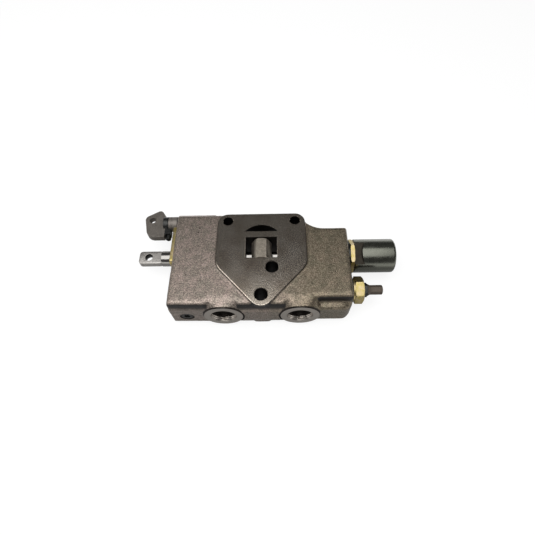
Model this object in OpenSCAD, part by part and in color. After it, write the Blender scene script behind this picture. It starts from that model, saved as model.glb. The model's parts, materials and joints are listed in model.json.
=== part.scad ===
// Working section of a stackable hydraulic directional valve.
// X runs along the spool with its tang at -X, -Y is the side of the work ports,
// and +Z is the stacking direction. The origin lies on the lower stacking face,
// midway between the two rear tie-rod holes.

/* [Housing] */
// Distance between the two machined stacking faces
stack_pitch = 40; // [39:0.5:46]
// Height of each machined pad over the cast face
pad_step = 2; // [1:0.25:3]
// Housing reach from the tie-rod centre line to the spool end face
housing_left = 77; // [76:0.5:84]
// Housing reach from the tie-rod centre line to the cap end face
housing_right = 76; // [75:0.5:84]
// Housing reach behind the rear tie-rod line
rear_reach = 8.7; // [8:0.1:11]
// Depth of the step in the rear face at the cap end
rear_notch = 15.7; // [12:0.1:16]
// Radius of the concave sweep into the rear step
notch_r = 22; // [20:0.5:22]
// Front cast face, measured from the rear tie-rod line
front_reach = 81; // [81:0.1:84]
// Outward draft of the front faces to the parting line
draft = 0.8; // [0.2:0.1:1.2]
// Height of the parting line below the upper cast face
parting_drop = 9; // [7:0.5:11]
// Extra reach of the flat panel between the ports
panel_proud = 2; // [1:0.1:2.2]
// Height of the flat panel between the ports
panel_h = 17.4; // [12:0.2:19]
// Length of the ledge in the front corner at the cap end
ledge_len = 29; // [24:0.5:30]
// Depth of the ledge below the upper cast face
ledge_drop = 8.5; // [6:0.5:10]
// Setback of the wall above the ledge from the front cast face
ledge_setback = 5; // [4:0.1:7]
// Radius of the vertical front corner at the cap end
corner_r = 8; // [6:0.5:9]

/* [Stacking pad] */
// Spacing of the two rear tie-rod holes
tie_spacing = 60; // [59:0.5:61]
// Diameter of the rear tie-rod holes
tie_d = 9; // [8.4:0.1:9.2]
// Distance from the rear tie-rod line to the front tie-rod hole
tie_front = 73.4; // [72.5:0.1:74]
// Diameter of the front tie-rod hole
tie_front_d = 11.1; // [10:0.1:12]
// Radius of the pad corners around the rear tie-rod holes
pad_corner_r = 9; // [8.7:0.1:9.5]
// Radius of the pad nose around the front tie-rod hole
pad_nose_r = 9.9; // [9:0.1:10.4]
// Radius of the rounded pad flanks
pad_flank_r = 16; // [12:0.5:18]
// Distance from the rear tie-rod line to the flank centres
pad_flank_y = 39.1; // [37:0.1:41]

/* [Galleries] */
// Width of the pressure gallery window
window_w = 27.5; // [26:0.25:28]
// Near edge of the pressure gallery window
window_near = 17.7; // [17.4:0.1:18]
// Length of the pressure gallery window along Y
window_len = 20.9; // [20.6:0.1:21.2]
// Radius of the arc of the tank gallery
tank_arc_r = 18.4; // [18:0.1:18.7]
// Distance from the rear tie-rod line to the centre of the tank arc
tank_arc_y = 22.9; // [22.6:0.1:23.2]
// Flat side of the tank gallery
tank_flat_y = 11.3; // [11:0.1:11.6]
// Diameter of the round load-sensing gallery
sense_d = 11.2; // [10:0.2:12]
// Sideways place of the load-sensing gallery
sense_x = 9.1; // [8.8:0.1:10]
// Distance from the rear tie-rod line to the load-sensing gallery
sense_y = 47.9; // [47.5:0.1:49]
// Diameter of the cored tank channel along the housing
channel_d = 6.4; // [5:0.2:7]
// Distance from the rear tie-rod line to the tank channel
channel_y = 12.2; // [12:0.1:12.6]

/* [Work ports] */
// Half spacing of the two work ports
port_x = 32.3; // [31.5:0.1:33]
// Drop of the work port axes below the spool axis
port_drop = 0.5; // [-0.5:0.1:1]
// Wall diameter of the threaded work ports
port_d = 20.4; // [18:0.1:21]
// Depth of the work port threads
port_depth = 16; // [13:0.5:17]
// Reach of the port faces past the front cast face
port_proud = 2.5; // [2.3:0.1:4]
// Diameter of the port bosses
boss_d = 34; // [32:0.2:34.8]
// Diameter of the drilling from a port to the spool bore
port_drill_d = 12; // [9:0.5:13]

/* [Spool] */
// Drop of the spool axis below the middle of the section
axis_drop = 1; // [0.8:0.1:1.5]
// Distance from the rear tie-rod line to the spool axis
spool_y = 26.2; // [26:0.1:27]
// Diameter of the spool lands
spool_d = 14.2; // [13.8:0.1:14.6]
// Diameter of the spool necks
spool_neck_d = 10; // [8:0.2:10]
// Travel of the spool to either side
stroke = 6.5; // [5:0.25:6.5]
// Reach of the spool tang past the housing
tang_reach = 35.2; // [33:0.2:40]
// Length of the flat tang
tang_len = 21; // [19:0.2:21]
// Thickness of the flat tang
tang_t = 6; // [4.5:0.25:8]
// Diameter of the hole in the tang
tang_hole_d = 6.5; // [5:0.1:7]
// Distance from the tang hole to the end of the spool
tang_hole_end = 8.9; // [8:0.1:10]
// Half distance between the tank grooves in the spool bore
tank_groove_x = 50; // [49:0.1:50.5]
// Width of the tank grooves
tank_groove_w = 8; // [7:0.1:8.4]
// Width of the work port grooves
port_groove_w = 10.5; // [9:0.1:11]
// Overlap of each spool land past its groove
land_lap = 2; // [1.5:0.1:2.4]
// Diameter of the spool shank inside the cap
shank_d = 9; // [8:0.1:10]

/* [Spool end plate and seals] */
// Thickness of the spool retaining plate
plate_t = 3; // [2.5:0.1:4]
// Height of the spool retaining plate
plate_h = 32.6; // [30:0.1:33]
// Reach of the plate in front of the spool axis
plate_front = 13.6; // [12.6:0.1:15]
// Reach of the plate behind the spool axis
plate_rear = 24.5; // [23:0.1:24.8]
// Diameter of the countersunk plate screws
plate_screw_d = 5; // [4:0.5:5]
// Length of the plate screws
plate_screw_len = 14; // [12:1:16]
// Outer diameter of the wiper and the rod seal
seal_d = 20; // [19:0.1:21]
// Width of the wiper
wiper_w = 2.3; // [2:0.1:2.6]
// Width of the rod seal
seal_w = 2.6; // [2.4:0.1:3]

/* [Spring cap] */
// Outer diameter of the cap
cap_d = 30.2; // [29.4:0.1:31]
// Step from the cap to its neck in the housing
neck_step = 2.7; // [2.4:0.1:3]
// Depth of the housing counterbore behind the cap neck
cap_seat_depth = 7; // [6:0.1:7.5]
// Thickness of the closed end of the cap
cap_wall = 5; // [3:0.1:6]
// Length of the wrench flats on the cap
flat_len = 7.4; // [6:0.1:9]
// Depth of each wrench flat
flat_depth = 3.6; // [3:0.1:3.8]
// Thickness of the lock ring behind the cap
ring_t = 6; // [4:0.1:8]
// Wall of the lock ring at its flats
ring_wall = 1.1; // [1:0.1:1.6]
// Length of the centring spring between its seats
spring_len = 29; // [28:0.5:33]
// Mean diameter of the centring spring
spring_mean_d = 16.4; // [16:0.1:16.8]
// Wire diameter of the centring spring
spring_wire_d = 2.2; // [1.8:0.1:2.4]
// Thickness of the spring seats
seat_t = 2; // [1.5:0.1:2.4]
// Gap from the spring to the rim of its seats
seat_rim = 0.2; // [0:0.1:0.4]
// Thread diameter of the spool end screw
end_screw_d = 6; // [4:0.5:6]
// Thread length of the spool end screw
end_screw_len = 15; // [12:0.5:18]
// Head height of the spool end screw
end_screw_head = 4; // [3:0.1:6]

/* [Flow control] */
// Distance of the flow-control axis behind the rear tie-rod line
flow_y = 5.8; // [5.6:0.1:6]
// Height of the flow-control axis over the spool axis
flow_rise = 9; // [8.6:0.1:9.2]
// Radius of the rib that carries the flow-control bore
flow_rib_r = 8.2; // [7.8:0.1:8.6]
// Diameter of the gland
gland_d = 14.1; // [13.8:0.1:14.4]
// Length of the gland outside the housing
gland_len = 9.4; // [8:0.1:12]
// Thread diameter of the gland
gland_thread_d = 11.9; // [11:0.1:12]
// Thread length of the gland
gland_thread_len = 12; // [9:0.5:14]
// Thickness of the flat seal under the gland
gland_seal_t = 1.3; // [1:0.1:2]
// Diameter of the flow-control spindle in the gland
spindle_d = 8; // [7:0.1:8]
// Diameter of the metering end of the spindle
meter_d = 9; // [8.6:0.1:9.4]
// Length of the metering end of the spindle
meter_len = 20; // [16:0.5:21]
// Thickness of the lever blade
blade_t = 6; // [4:0.25:7]
// Reach of the blade past its hub
blade_len = 18; // [17:0.1:20]
// Reach of the blade on the rear side of its axis
blade_rear = 13.8; // [13.4:0.1:15]
// Reach of the blade on the front side of its axis
blade_front = 15.8; // [14:0.1:16]
// Diameter of the hole in the blade
blade_hole_d = 6; // [4:0.1:6.4]
// Distance from the end of the blade to its hole
blade_hole_inset = 7; // [6:0.1:8]
// Distance of the hole behind the lever axis
blade_hole_rear = 3; // [0:0.1:4]
// Diameter of the lever hub
hub_d = 14.1; // [12:0.1:14.4]
// Length of the lever hub
hub_len = 4.4; // [4:0.1:6]
// Reach of the lug in front of the gland
lug_len = 5.6; // [4:0.1:6]
// Height of the lug
lug_h = 7; // [6:0.1:9]
// Thread diameter of the lock screw in the lug
lock_screw_d = 3; // [2.5:0.5:4]
// Head height of the lock screw
lock_head_h = 4.6; // [3:0.1:5]

/* [Relief cartridge] */
// Distance from the rear tie-rod line to the relief cartridge axis
relief_y = 60.6; // [60:0.1:61.5]
// Size across the flats of the cartridge hexagon
relief_af = 21; // [20:0.1:22]
// Thickness of the cartridge hexagon
relief_hex_t = 7.8; // [6:0.1:9]
// Thickness of the washer face under the hexagon
relief_face_t = 1.5; // [1:0.1:2]
// Thickness of the bonded seal under the cartridge
relief_seal_t = 2; // [1.5:0.1:2.5]
// Thread diameter of the cartridge
relief_thread_d = 16.3; // [15:0.1:17]
// Length of the cartridge inside the housing
relief_len = 30; // [29:0.5:31]
// Diameter of the spring chamber in the cartridge
relief_bore_d = 11; // [10.6:0.1:11.6]
// Thread diameter of the adjusting screw
adjust_d = 8; // [7.6:0.1:8.4]
// Size across the flats of the adjusting screw's drive
adjust_af = 7.4; // [7:0.1:8]
// Length of the adjusting screw's drive
adjust_len = 11; // [9:0.1:14]
// Size across the flats of the lock nut
nut_af = 11; // [10.6:0.1:12]
// Thickness of the lock nut
nut_t = 2.9; // [2.5:0.1:4]
// Length of the relief spring
relief_spring_len = 12; // [11:0.1:13]
// Lift of the relief poppet
relief_lift = 1.5; // [1:0.1:1.8]

/* [Check valve] */
// Size across the flats of the check valve body
check_af = 15; // [14.6:0.1:15]
// Length of the hexagon of the check valve body
check_len = 19.2; // [19:0.1:19.3]
// Diameter of the check valve stub
check_stub_d = 8; // [7:0.1:8.4]
// Length of the check valve stub
check_stub_len = 7.6; // [7:0.1:8]
// Diameter of the check ball
ball_d = 4.8; // [4.4:0.1:5]
// Lift of the check ball
ball_lift = 1.2; // [0.8:0.1:1.4]

/* [Gallery plug] */
// Distance of the drain drilling from the spool end face
plug_inset = 12.6; // [12:0.1:13.5]
// Drop of the drain drilling below the spool axis
plug_drop = 5.6; // [5:0.1:6.2]
// Diameter of the plug in the front face
plug_d = 9.8; // [9:0.1:10.4]
// Length of the plug
plug_len = 8; // [6:0.5:10]

/* [Fits] */
// Radial clearance of the running fits
run_gap = 0.03; // [0.02:0.01:0.06]
// Radial clearance of threads and fixed fits
thread_gap = 0.05; // [0.02:0.01:0.08]
// Gap between pieces that pass each other
pass_gap = 0.3; // [0.25:0.05:0.4]

/* [Hidden] */
$fn = 64;
eps = 0.01;
// Heights of the axes over the lower stacking face
axis_z = stack_pitch / 2 - axis_drop;
port_z = axis_z - port_drop;
flow_z = axis_z + flow_rise;
plug_z = axis_z - plug_drop;
// Cast faces of the housing
cast_low = pad_step;
cast_high = stack_pitch - pad_step;
left_x = -housing_left;
right_x = housing_right;
rear_y = rear_reach;
front_y = -front_reach;
parting_z = cast_high - parting_drop;
ledge_z = cast_high - ledge_drop;
ledge_x = right_x - ledge_len;
ledge_y = front_y + ledge_setback;
ledge_slope = 1.8;
port_reach = front_reach + port_proud;
// Longer than the section, for cuts right through it
far = 5 * stack_pitch;
// Radii that more than one piece shares
spool_r = spool_d / 2;
neck_r = spool_neck_d / 2;
seal_r = seal_d / 2;
cap_r = cap_d / 2;
cap_neck_d = cap_d - 2 * neck_step;
neck_bore_r = cap_neck_d / 2 + thread_gap;
ring_af = cap_neck_d + 2 * ring_wall;
flat_r = cap_r - flat_depth;
flat_arc_r = 22;
seat_d = spring_mean_d + spring_wire_d + 2 * seat_rim;
cap_bore_r = seat_d / 2 + 0.5;
inner_seat_r = cap_neck_d / 2 - 0.9;
cap_ring_wire_r = 0.5;
cap_chamfer = 2.5 * cap_ring_wire_r + 0.5;
flow_bore_r = gland_thread_d / 2 + thread_gap;
relief_r = relief_thread_d / 2;
relief_chamber_r = relief_bore_d / 2;
// Places along the spool axis
plate_x = left_x - plate_t;
wiper_x = left_x;
seal_x = wiper_x + wiper_w + 0.2;
seal_floor_x = seal_x + seal_w;
tang_end_x = left_x - tang_reach;
tang_root_x = tang_end_x + tang_len;
port_land = port_groove_w / 2 + land_lap;
end_land_x = tank_groove_x + tank_groove_w / 2 - 1.5;
cap_floor_x = right_x - cap_seat_depth;
spool_stop_x = cap_floor_x - stroke - pass_gap;
spring_x = cap_floor_x + seat_t;
shank_end_x = spring_x + spring_len;
head_x = shank_end_x + seat_t;
head_end_x = head_x + end_screw_head;
ring_end_x = right_x + ring_t;
cap_bore_end_x = head_end_x + stroke + 0.5;
cap_end_x = cap_bore_end_x + cap_wall;
// Places along the flow-control axis
gland_x = left_x - gland_len;
hub_x = gland_x - 0.4 - hub_len;
gland_end_x = left_x + gland_thread_len;
meter_x = gland_end_x + 0.2;
meter_end_x = meter_x + meter_len;
spindle_x = hub_x + 0.6;
blade_edge_x = hub_x + 2.6;
blade_end_x = hub_x - blade_len;
gland_seal_x = left_x - gland_seal_t;
lug_y = flow_y - gland_d / 2 - pass_gap - lug_len;
lug_x = hub_x + hub_len * 0.41;
lug_end_x = gland_x + lock_screw_d / 2 + 1;
lock_screw_x = lug_end_x - lock_screw_d / 2 - 0.5;
// Places along the relief cartridge axis
relief_face_x = right_x + relief_seal_t;
relief_hex_x = relief_face_x + relief_face_t;
relief_end_x = relief_hex_x + relief_hex_t;
relief_nose_x = right_x - relief_len;
relief_seat_x = relief_nose_x + 4;
relief_seat_t = 3;
poppet_tip_x = relief_seat_x + relief_seat_t;
poppet_len = 5.5;
relief_spring_x = poppet_tip_x + poppet_len;
relief_spring_end_x = relief_spring_x + relief_spring_len;
relief_disc_t = 2;
adjust_in_x = relief_spring_end_x + relief_disc_t;
relief_chamber_end_x = adjust_in_x + 3;
nut_x = relief_end_x + pass_gap;
nut_end_x = nut_x + nut_t;
adjust_shoulder_x = nut_end_x + pass_gap;
adjust_drive_x = adjust_shoulder_x + 2.2;
adjust_end_x = adjust_drive_x + adjust_len;
// Turn of the cartridge hexagon and of the cap flats about their axes
relief_turn = -8;
flat_turn = 20;
// Places along the check valve axis
window_far = window_near + window_len;
check_z = stack_pitch - 0.6 - check_af / 2;
check_front_y = -window_far + 0.8;
check_back_y = check_front_y + check_len;
check_stub_y = check_front_y - check_stub_len;
check_seat_r = 1.5;
check_seat_y = check_back_y - 4;
ball_r = ball_d / 2;
ball_y = check_seat_y - sqrt(pow(ball_r, 2) - pow(check_seat_r, 2)) - run_gap;
check_spring_y = ball_y - ball_r * 0.8;
check_spring_end_y = check_spring_y - 7.6;
// Place of the front plug
plug_x = left_x + plug_inset;
plug_y = front_y - draft * (plug_z - cast_low) / (parting_z - cast_low) + 0.4;
// Plate screws as [y, z]
plate_low_z = axis_z - plate_h / 2 + 0.9;
plate_high_z = plate_low_z + plate_h;
screw_inset = 6.3;
plate_screws = [
    [-spool_y + plate_rear - screw_inset, plate_low_z + screw_inset],
    [-spool_y - plate_front + screw_inset - 1, plate_high_z - screw_inset + 1]
];

// ---- Shared shapes ----

// Cylinder from x0 to x1 about the axis at y, z
module along_x(x0, x1, r, y, z) {
    translate([x0, y, z]) rotate([0, 90, 0]) cylinder(h = x1 - x0, r = r);
}

// Cylinder from y0 to y1 about the axis at x, z
module along_y(y0, y1, r, x, z) {
    translate([x, y0, z]) rotate([-90, 0, 0]) cylinder(h = y1 - y0, r = r);
}

// Solid of revolution about an X axis at y, z, from a list of [x, radius]
module turned_x(profile, y, z) {
    translate([0, y, z]) rotate([0, 90, 0]) rotate_extrude()
        polygon([for (p = profile) [p[1], p[0]]]);
}

// Solid of revolution about a Y axis at x, z, from a list of [y, radius]
module turned_y(profile, x, z) {
    translate([x, 0, z]) rotate([-90, 0, 0]) rotate_extrude()
        polygon([for (p = profile) [p[1], p[0]]]);
}

// O-ring about an X axis
module o_ring_x(x, mean_r, wire_r, y, z) {
    translate([x, y, z]) rotate([0, 90, 0]) rotate_extrude()
        translate([mean_r, 0]) circle(r = wire_r, $fn = 24);
}

// Hexagonal bar along X from x0 to x1, with one flat turned by turn degrees
module hex_x(x0, x1, af, turn) {
    rotate([turn, 0, 0]) translate([x0, 0, 0]) rotate([0, 90, 0])
        cylinder(h = x1 - x0, d = af / cos(30), $fn = 6);
}

// Profile that cuts the corners of a hexagon at its two ends
function hex_chamfer(x0, x1, af, low, high) = let (r = af / cos(30) / 2) [
    [x0, 0], [x0, r - low], [x0 + low * 0.6, r], [x1 - high * 0.6, r], [x1, r - high], [x1, 0]];

// Round-wire compression spring along X that just touches both seats
module coil_x(x0, length, mean_r, wire_r, turns, y, z) {
    steps = 18;
    sides = 8;
    last = turns * steps;
    rise = length - 2 * wire_r;
    rings = [for (i = [0:last], k = [0:sides - 1])
        let (t = 360 * i / steps, s = 360 * k / sides, r = mean_r + wire_r * cos(s))
        [wire_r + rise * i / last + wire_r * sin(s), r * sin(t), r * cos(t)]];
    walls = [for (i = [0:last - 1], k = [0:sides - 1])
        let (a = i * sides + k, b = i * sides + (k + 1) % sides)
        [a, a + sides, b + sides, b]];
    start_cap = [for (k = [0:sides - 1]) k];
    end_cap = [for (k = [sides - 1:-1:0]) last * sides + k];
    translate([x0, y, z]) polyhedron(concat(rings), concat([start_cap], walls, [end_cap]));
}

// ---- Housing ----

// Outline of a stacking pad: three rounded corners and two rounded flanks
module pad_outline() {
    flank_x = tie_spacing / 2 + pad_corner_r - pad_flank_r;
    run = [flank_x, tie_front - pad_flank_y];
    reach = norm(run);
    turn = atan2(run[1], run[0]) - acos((pad_nose_r - pad_flank_r) / reach);
    side = [cos(turn), sin(turn)];
    nose = [0, -tie_front];
    flank = [flank_x, -pad_flank_y];
    // the straight sides lie a hair inside the circles, so that they cross them cleanly
    tuck = 0.03;
    half = [
        nose + (pad_nose_r - tuck) * side,
        flank + (pad_flank_r - tuck) * side,
        [flank_x + pad_flank_r - tuck, -pad_flank_y],
        [tie_spacing / 2 + pad_corner_r - tuck, -1.5],
        [tie_spacing / 2, -1.5 + pad_corner_r - tuck]
    ];
    mirrored = [for (i = [4:-1:0]) [-half[i][0], half[i][1]]];
    polygon(concat(half, mirrored));
    for (s = [-1, 1]) {
        translate([s * tie_spacing / 2, -1.5]) circle(r = pad_corner_r);
        translate([s * flank[0], flank[1]]) circle(r = pad_flank_r);
    }
    translate(nose) circle(r = pad_nose_r);
}

// Outline of the cast block, with the swept step in the rear face
module block_outline() {
    step_y = rear_y - rear_notch;
    sweep_x = tie_spacing / 2 + 26;
    difference() {
        union() {
            translate([left_x, front_y + 0.5]) square([sweep_x - left_x, rear_y - front_y - 0.5]);
            translate([left_x, ledge_y + ledge_slope])
                square([right_x - left_x, step_y - ledge_y - ledge_slope]);
        }
        translate([sweep_x, step_y + notch_r]) circle(r = notch_r);
        translate([ledge_x, front_y]) square([right_x - ledge_x + 1, ledge_y + ledge_slope - front_y]);
    }
}

// Front of the housing: drafted face, panel between the ports and ledge
module front_blocks() {
    root_y = front_y + 20;
    rotate([90, 0, 90]) translate([0, 0, left_x]) linear_extrude(-port_x - left_x)
        polygon([[root_y, cast_low], [front_y, cast_low], [front_y - draft, parting_z],
            [front_y, cast_high], [root_y, cast_high]]);
    rotate([90, 0, 90]) translate([0, 0, -port_x]) linear_extrude(2 * port_x)
        polygon([[root_y, cast_low], [front_y + 0.3, cast_low],
            [front_y - panel_proud, port_z - panel_h / 2],
            [front_y - panel_proud, port_z + panel_h / 2],
            [front_y + 0.5, cast_high], [root_y, cast_high]]);
    intersection() {
        rotate([90, 0, 90]) translate([0, 0, port_x]) linear_extrude(right_x - port_x)
            polygon([[root_y, cast_low], [front_y + 0.7, cast_low], [front_y - draft, ledge_z],
                [ledge_y - ledge_slope * 0.2, ledge_z], [ledge_y + ledge_slope, cast_high],
                [root_y, cast_high]]);
        union() {
            translate([port_x, -far, 0]) cube([right_x - corner_r - port_x, far, stack_pitch]);
            translate([port_x, front_y - draft + corner_r, 0]) cube([right_x - port_x, far, stack_pitch]);
            translate([right_x - corner_r, front_y - draft + corner_r, 0])
                cylinder(h = stack_pitch, r = corner_r);
        }
    }
    // upper cast face runs on over the port boss up to the ledge
    translate([port_x - 1, front_y + 0.5, parting_z])
        cube([ledge_x - port_x + 1, 15, cast_high - parting_z]);
}

module port_bosses() {
    for (s = [-1, 1])
        turned_y([[-port_reach, 0], [-port_reach, boss_d / 2 - 1], [-port_reach + 1, boss_d / 2],
            [front_y + 12, boss_d / 2], [front_y + 12, 0]], s * port_x, port_z);
}

module housing_solid() {
    translate([0, 0, cast_low]) linear_extrude(cast_high - cast_low) block_outline();
    front_blocks();
    port_bosses();
    // wall around the front tie-rod hole
    translate([0, -tie_front, cast_low]) cylinder(h = cast_high - cast_low, r = pad_nose_r - 1.2);
    // upper pad, and lower pad cut flush with the front cast edge
    translate([0, 0, cast_high]) linear_extrude(pad_step) pad_outline();
    linear_extrude(pad_step) intersection() {
        pad_outline();
        translate([-far / 2, front_y]) square([far, far]);
    }
    // rib behind the housing for the flow-control bore
    turned_x([[left_x, 0], [left_x, flow_rib_r], [meter_end_x + 2, flow_rib_r],
        [meter_end_x + 5, flow_rib_r - 3], [meter_end_x + 5, 0]], flow_y, flow_z);
}

// Galleries through both stacking faces
module through_galleries() {
    translate([-window_w / 2, -window_far, -1]) cube([window_w, window_len, stack_pitch + 2]);
    translate([0, 0, -1]) linear_extrude(stack_pitch + 2) intersection() {
        translate([0, -tank_arc_y]) circle(r = tank_arc_r);
        translate([-tank_arc_r, -tank_flat_y]) square([2 * tank_arc_r, tank_arc_r]);
    }
    translate([sense_x, -sense_y, -1]) cylinder(h = stack_pitch + 2, d = sense_d);
}

module tie_rod_holes() {
    for (s = [-1, 1])
        translate([s * tie_spacing / 2, 0, -1]) cylinder(h = stack_pitch + 2, d = tie_d);
    translate([0, -tie_front, -1]) cylinder(h = stack_pitch + 2, d = tie_front_d);
}

// Spool bore with its grooves, seal seat and cap counterbore
module spool_bore() {
    bore_r = spool_r + run_gap;
    along_x(left_x - 1, right_x + 1, bore_r, -spool_y, axis_z);
    along_x(left_x - 1, seal_floor_x, seal_r + thread_gap, -spool_y, axis_z);
    along_x(cap_floor_x, right_x + 1, neck_bore_r, -spool_y, axis_z);
    // chamfer for the cap O-ring
    turned_x([[right_x - cap_chamfer, 0], [right_x - cap_chamfer, neck_bore_r],
        [right_x, neck_bore_r + cap_chamfer], [right_x + 1, neck_bore_r + cap_chamfer],
        [right_x + 1, 0]], -spool_y, axis_z);
    for (s = [-1, 1]) {
        along_x(s * port_x - port_groove_w / 2, s * port_x + port_groove_w / 2, spool_r + 2,
            -spool_y, axis_z);
        along_x(s * tank_groove_x - tank_groove_w / 2, s * tank_groove_x + tank_groove_w / 2,
            spool_y - channel_y - 0.5, -spool_y, axis_z);
    }
    along_x(-tank_groove_x, tank_groove_x, channel_d / 2, -channel_y, axis_z);
    // drain groove behind the rod seal, and its drilling from the front face
    along_x(plug_x - 2, plug_x + 2, spool_r + 1.8, -spool_y, axis_z);
    along_y(front_y - 5, -spool_y - spool_r + 1, 2.2, plug_x, plug_z);
    along_y(front_y - 5, plug_y + plug_len + 0.5, plug_d / 2 + thread_gap, plug_x, plug_z);
    along_y(front_y - 5, plug_y + 0.4, plug_d / 2 + 0.7, plug_x, plug_z);
}

module work_port_holes() {
    for (s = [-1, 1]) {
        along_y(-port_reach - 1, -port_reach + port_depth, port_d / 2, s * port_x, port_z);
        along_y(-port_reach, -spool_y - spool_r, port_drill_d / 2, s * port_x, port_z);
        turned_y([[-port_reach - 1, 0], [-port_reach - 1, port_d / 2 + 1.6],
            [-port_reach + 0.8, port_d / 2], [-port_reach + 0.8, 0]], s * port_x, port_z);
    }
}

module flow_control_holes() {
    along_x(left_x - 1, meter_x, flow_bore_r, flow_y, flow_z);
    along_x(meter_x - 1, meter_end_x + 2.6, meter_d / 2 + run_gap, flow_y, flow_z);
    // drilling down to the tank channel
    drop = [flow_y + channel_y, flow_z - axis_z];
    translate([meter_end_x + 0.8, -channel_y, axis_z]) rotate([-atan2(drop[0], drop[1]), 0, 0])
        cylinder(h = norm(drop), r = 1.6);
}

module relief_holes() {
    along_x(relief_nose_x - 0.5, right_x + 1, relief_r + thread_gap, -relief_y, axis_z);
    along_x(port_x, relief_nose_x, 3.5, -relief_y, axis_z);
    // return groove around the cartridge and drilling to the tank groove
    along_x(poppet_tip_x - 1, poppet_tip_x + 4, relief_r + 1.8, -relief_y, axis_z);
    along_y(-relief_y, -spool_y - spool_r, 2.2, tank_groove_x + 1, axis_z);
}

module check_valve_holes() {
    along_y(-sense_y, -window_far + 1, check_stub_d / 2 + thread_gap, 0, check_z);
}

module plate_screw_holes() {
    for (p = plate_screws)
        along_x(left_x - 1, left_x + plate_screw_len - plate_t + 2, plate_screw_d / 2 + thread_gap,
            p[0], p[1]);
}

module valve_body() {
    color("dimgray") difference() {
        housing_solid();
        through_galleries();
        tie_rod_holes();
        spool_bore();
        work_port_holes();
        flow_control_holes();
        relief_holes();
        check_valve_holes();
        plate_screw_holes();
    }
}

// ---- Spool and its seals ----

module spool() {
    inner_land = port_x - port_land;
    outer_land = port_x + port_land;
    color("silver") difference() {
        union() {
            turned_x([[tang_root_x, 0], [tang_root_x, spool_r - 0.5], [tang_root_x + 0.5, spool_r],
                [-end_land_x, spool_r], [-end_land_x, neck_r], [-outer_land, neck_r],
                [-outer_land, spool_r], [-inner_land, spool_r], [-inner_land, neck_r],
                [inner_land, neck_r], [inner_land, spool_r], [outer_land, spool_r],
                [outer_land, neck_r], [end_land_x, neck_r], [end_land_x, spool_r],
                [spool_stop_x, spool_r], [spool_stop_x, shank_d / 2],
                [shank_end_x, shank_d / 2], [shank_end_x, 0]], -spool_y, axis_z);
            intersection() {
                along_x(tang_end_x, tang_root_x + 1, spool_r - 0.1, -spool_y, axis_z);
                translate([0, -spool_y, axis_z - tang_t / 2]) linear_extrude(tang_t) tang_outline();
            }
        }
        translate([tang_end_x + tang_hole_end, -spool_y, 0]) cylinder(h = stack_pitch, d = tang_hole_d);
        along_x(shank_end_x - end_screw_len, shank_end_x + 1, end_screw_d / 2 + thread_gap,
            -spool_y, axis_z);
    }
}

// Outline of the flat tang, with two rounded corners at its end
module tang_outline() {
    corner = 2.6;
    half = spool_r + 1;
    edge = sqrt(pow(spool_r, 2) - pow(tang_t / 2, 2)) - 0.1;
    translate([tang_end_x + corner, -half]) square([tang_len + 1 - corner, 2 * half]);
    translate([tang_end_x, -edge + corner]) square([tang_len, 2 * (edge - corner)]);
    for (s = [-1, 1])
        translate([tang_end_x + corner, s * (edge - corner)]) circle(r = corner);
}

module rod_seal() {
    color("black") difference() {
        along_x(seal_x, seal_floor_x, seal_r, -spool_y, axis_z);
        along_x(seal_x - 1, seal_floor_x + 1, spool_r + run_gap, -spool_y, axis_z);
    }
}

module wiper_ring() {
    color("black") difference() {
        along_x(wiper_x, wiper_x + wiper_w, seal_r, -spool_y, axis_z);
        along_x(wiper_x - 1, wiper_x + wiper_w + 1, spool_r + run_gap, -spool_y, axis_z);
    }
}

module spool_retaining_plate() {
    corner = 3;
    low = [-spool_y - plate_front, plate_low_z];
    high = [-spool_y + plate_rear, plate_high_z];
    color("gold") difference() {
        rotate([90, 0, 90]) translate([0, 0, plate_x]) linear_extrude(plate_t) union() {
            translate(low + [corner, 0]) square(high - low - [2 * corner, 0]);
            translate(low + [0, corner]) square(high - low - [0, 2 * corner]);
            for (y = [low[0] + corner, high[0] - corner], z = [low[1] + corner, high[1] - corner])
                translate([y, z]) circle(r = corner);
        }
        along_x(plate_x - 1, left_x + 1, spool_r + 0.5, -spool_y, axis_z);
        for (p = plate_screws)
            countersunk_screw(p, 0.1);
    }
}

// Countersunk screw body through the plate, grown by a clearance
module countersunk_screw(place, gap) {
    shank_r = plate_screw_d / 2 + gap;
    head_r = plate_screw_d * 0.92 + gap;
    turned_x([[plate_x - gap, 0], [plate_x - gap, head_r], [plate_x + head_r - shank_r, shank_r],
        [plate_x + plate_screw_len, shank_r], [plate_x + plate_screw_len, 0]], place[0], place[1]);
}

module plate_screws() {
    color("darkgray") for (p = plate_screws) difference() {
        countersunk_screw(p, 0);
        translate([0, p[0], p[1]]) hex_x(plate_x - 1, plate_x + 1.8, plate_screw_d * 0.6, 0);
    }
}

// ---- Spring cap group ----

// Two parallel wrench flats that end in a curved shoulder
module cap_flats() {
    for (s = [0, 180])
        translate([0, -spool_y, axis_z]) rotate([flat_turn + s, 0, 0]) difference() {
            translate([ring_end_x - 1, -cap_r, flat_r]) cube([flat_len + 3.5, 2 * cap_r, cap_r]);
            translate([ring_end_x + flat_len + flat_arc_r - 1, -cap_r / 2, flat_r - 1])
                cylinder(h = cap_r, r = flat_arc_r);
        }
}

module spring_cap() {
    neck_x = spring_x + 0.2;
    color("darkslategray") difference() {
        turned_x([[neck_x, 0], [neck_x, cap_neck_d / 2], [ring_end_x, cap_neck_d / 2],
            [ring_end_x, cap_r - 0.6], [ring_end_x + 0.6, cap_r],
            for (a = [0:15:90]) [cap_end_x - 2.4 + 2.4 * sin(a), cap_r - 2.4 + 2.4 * cos(a)],
            [cap_end_x, 0]], -spool_y, axis_z);
        along_x(neck_x - 1, cap_bore_end_x, cap_bore_r, -spool_y, axis_z);
        cap_flats();
    }
}

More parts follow.
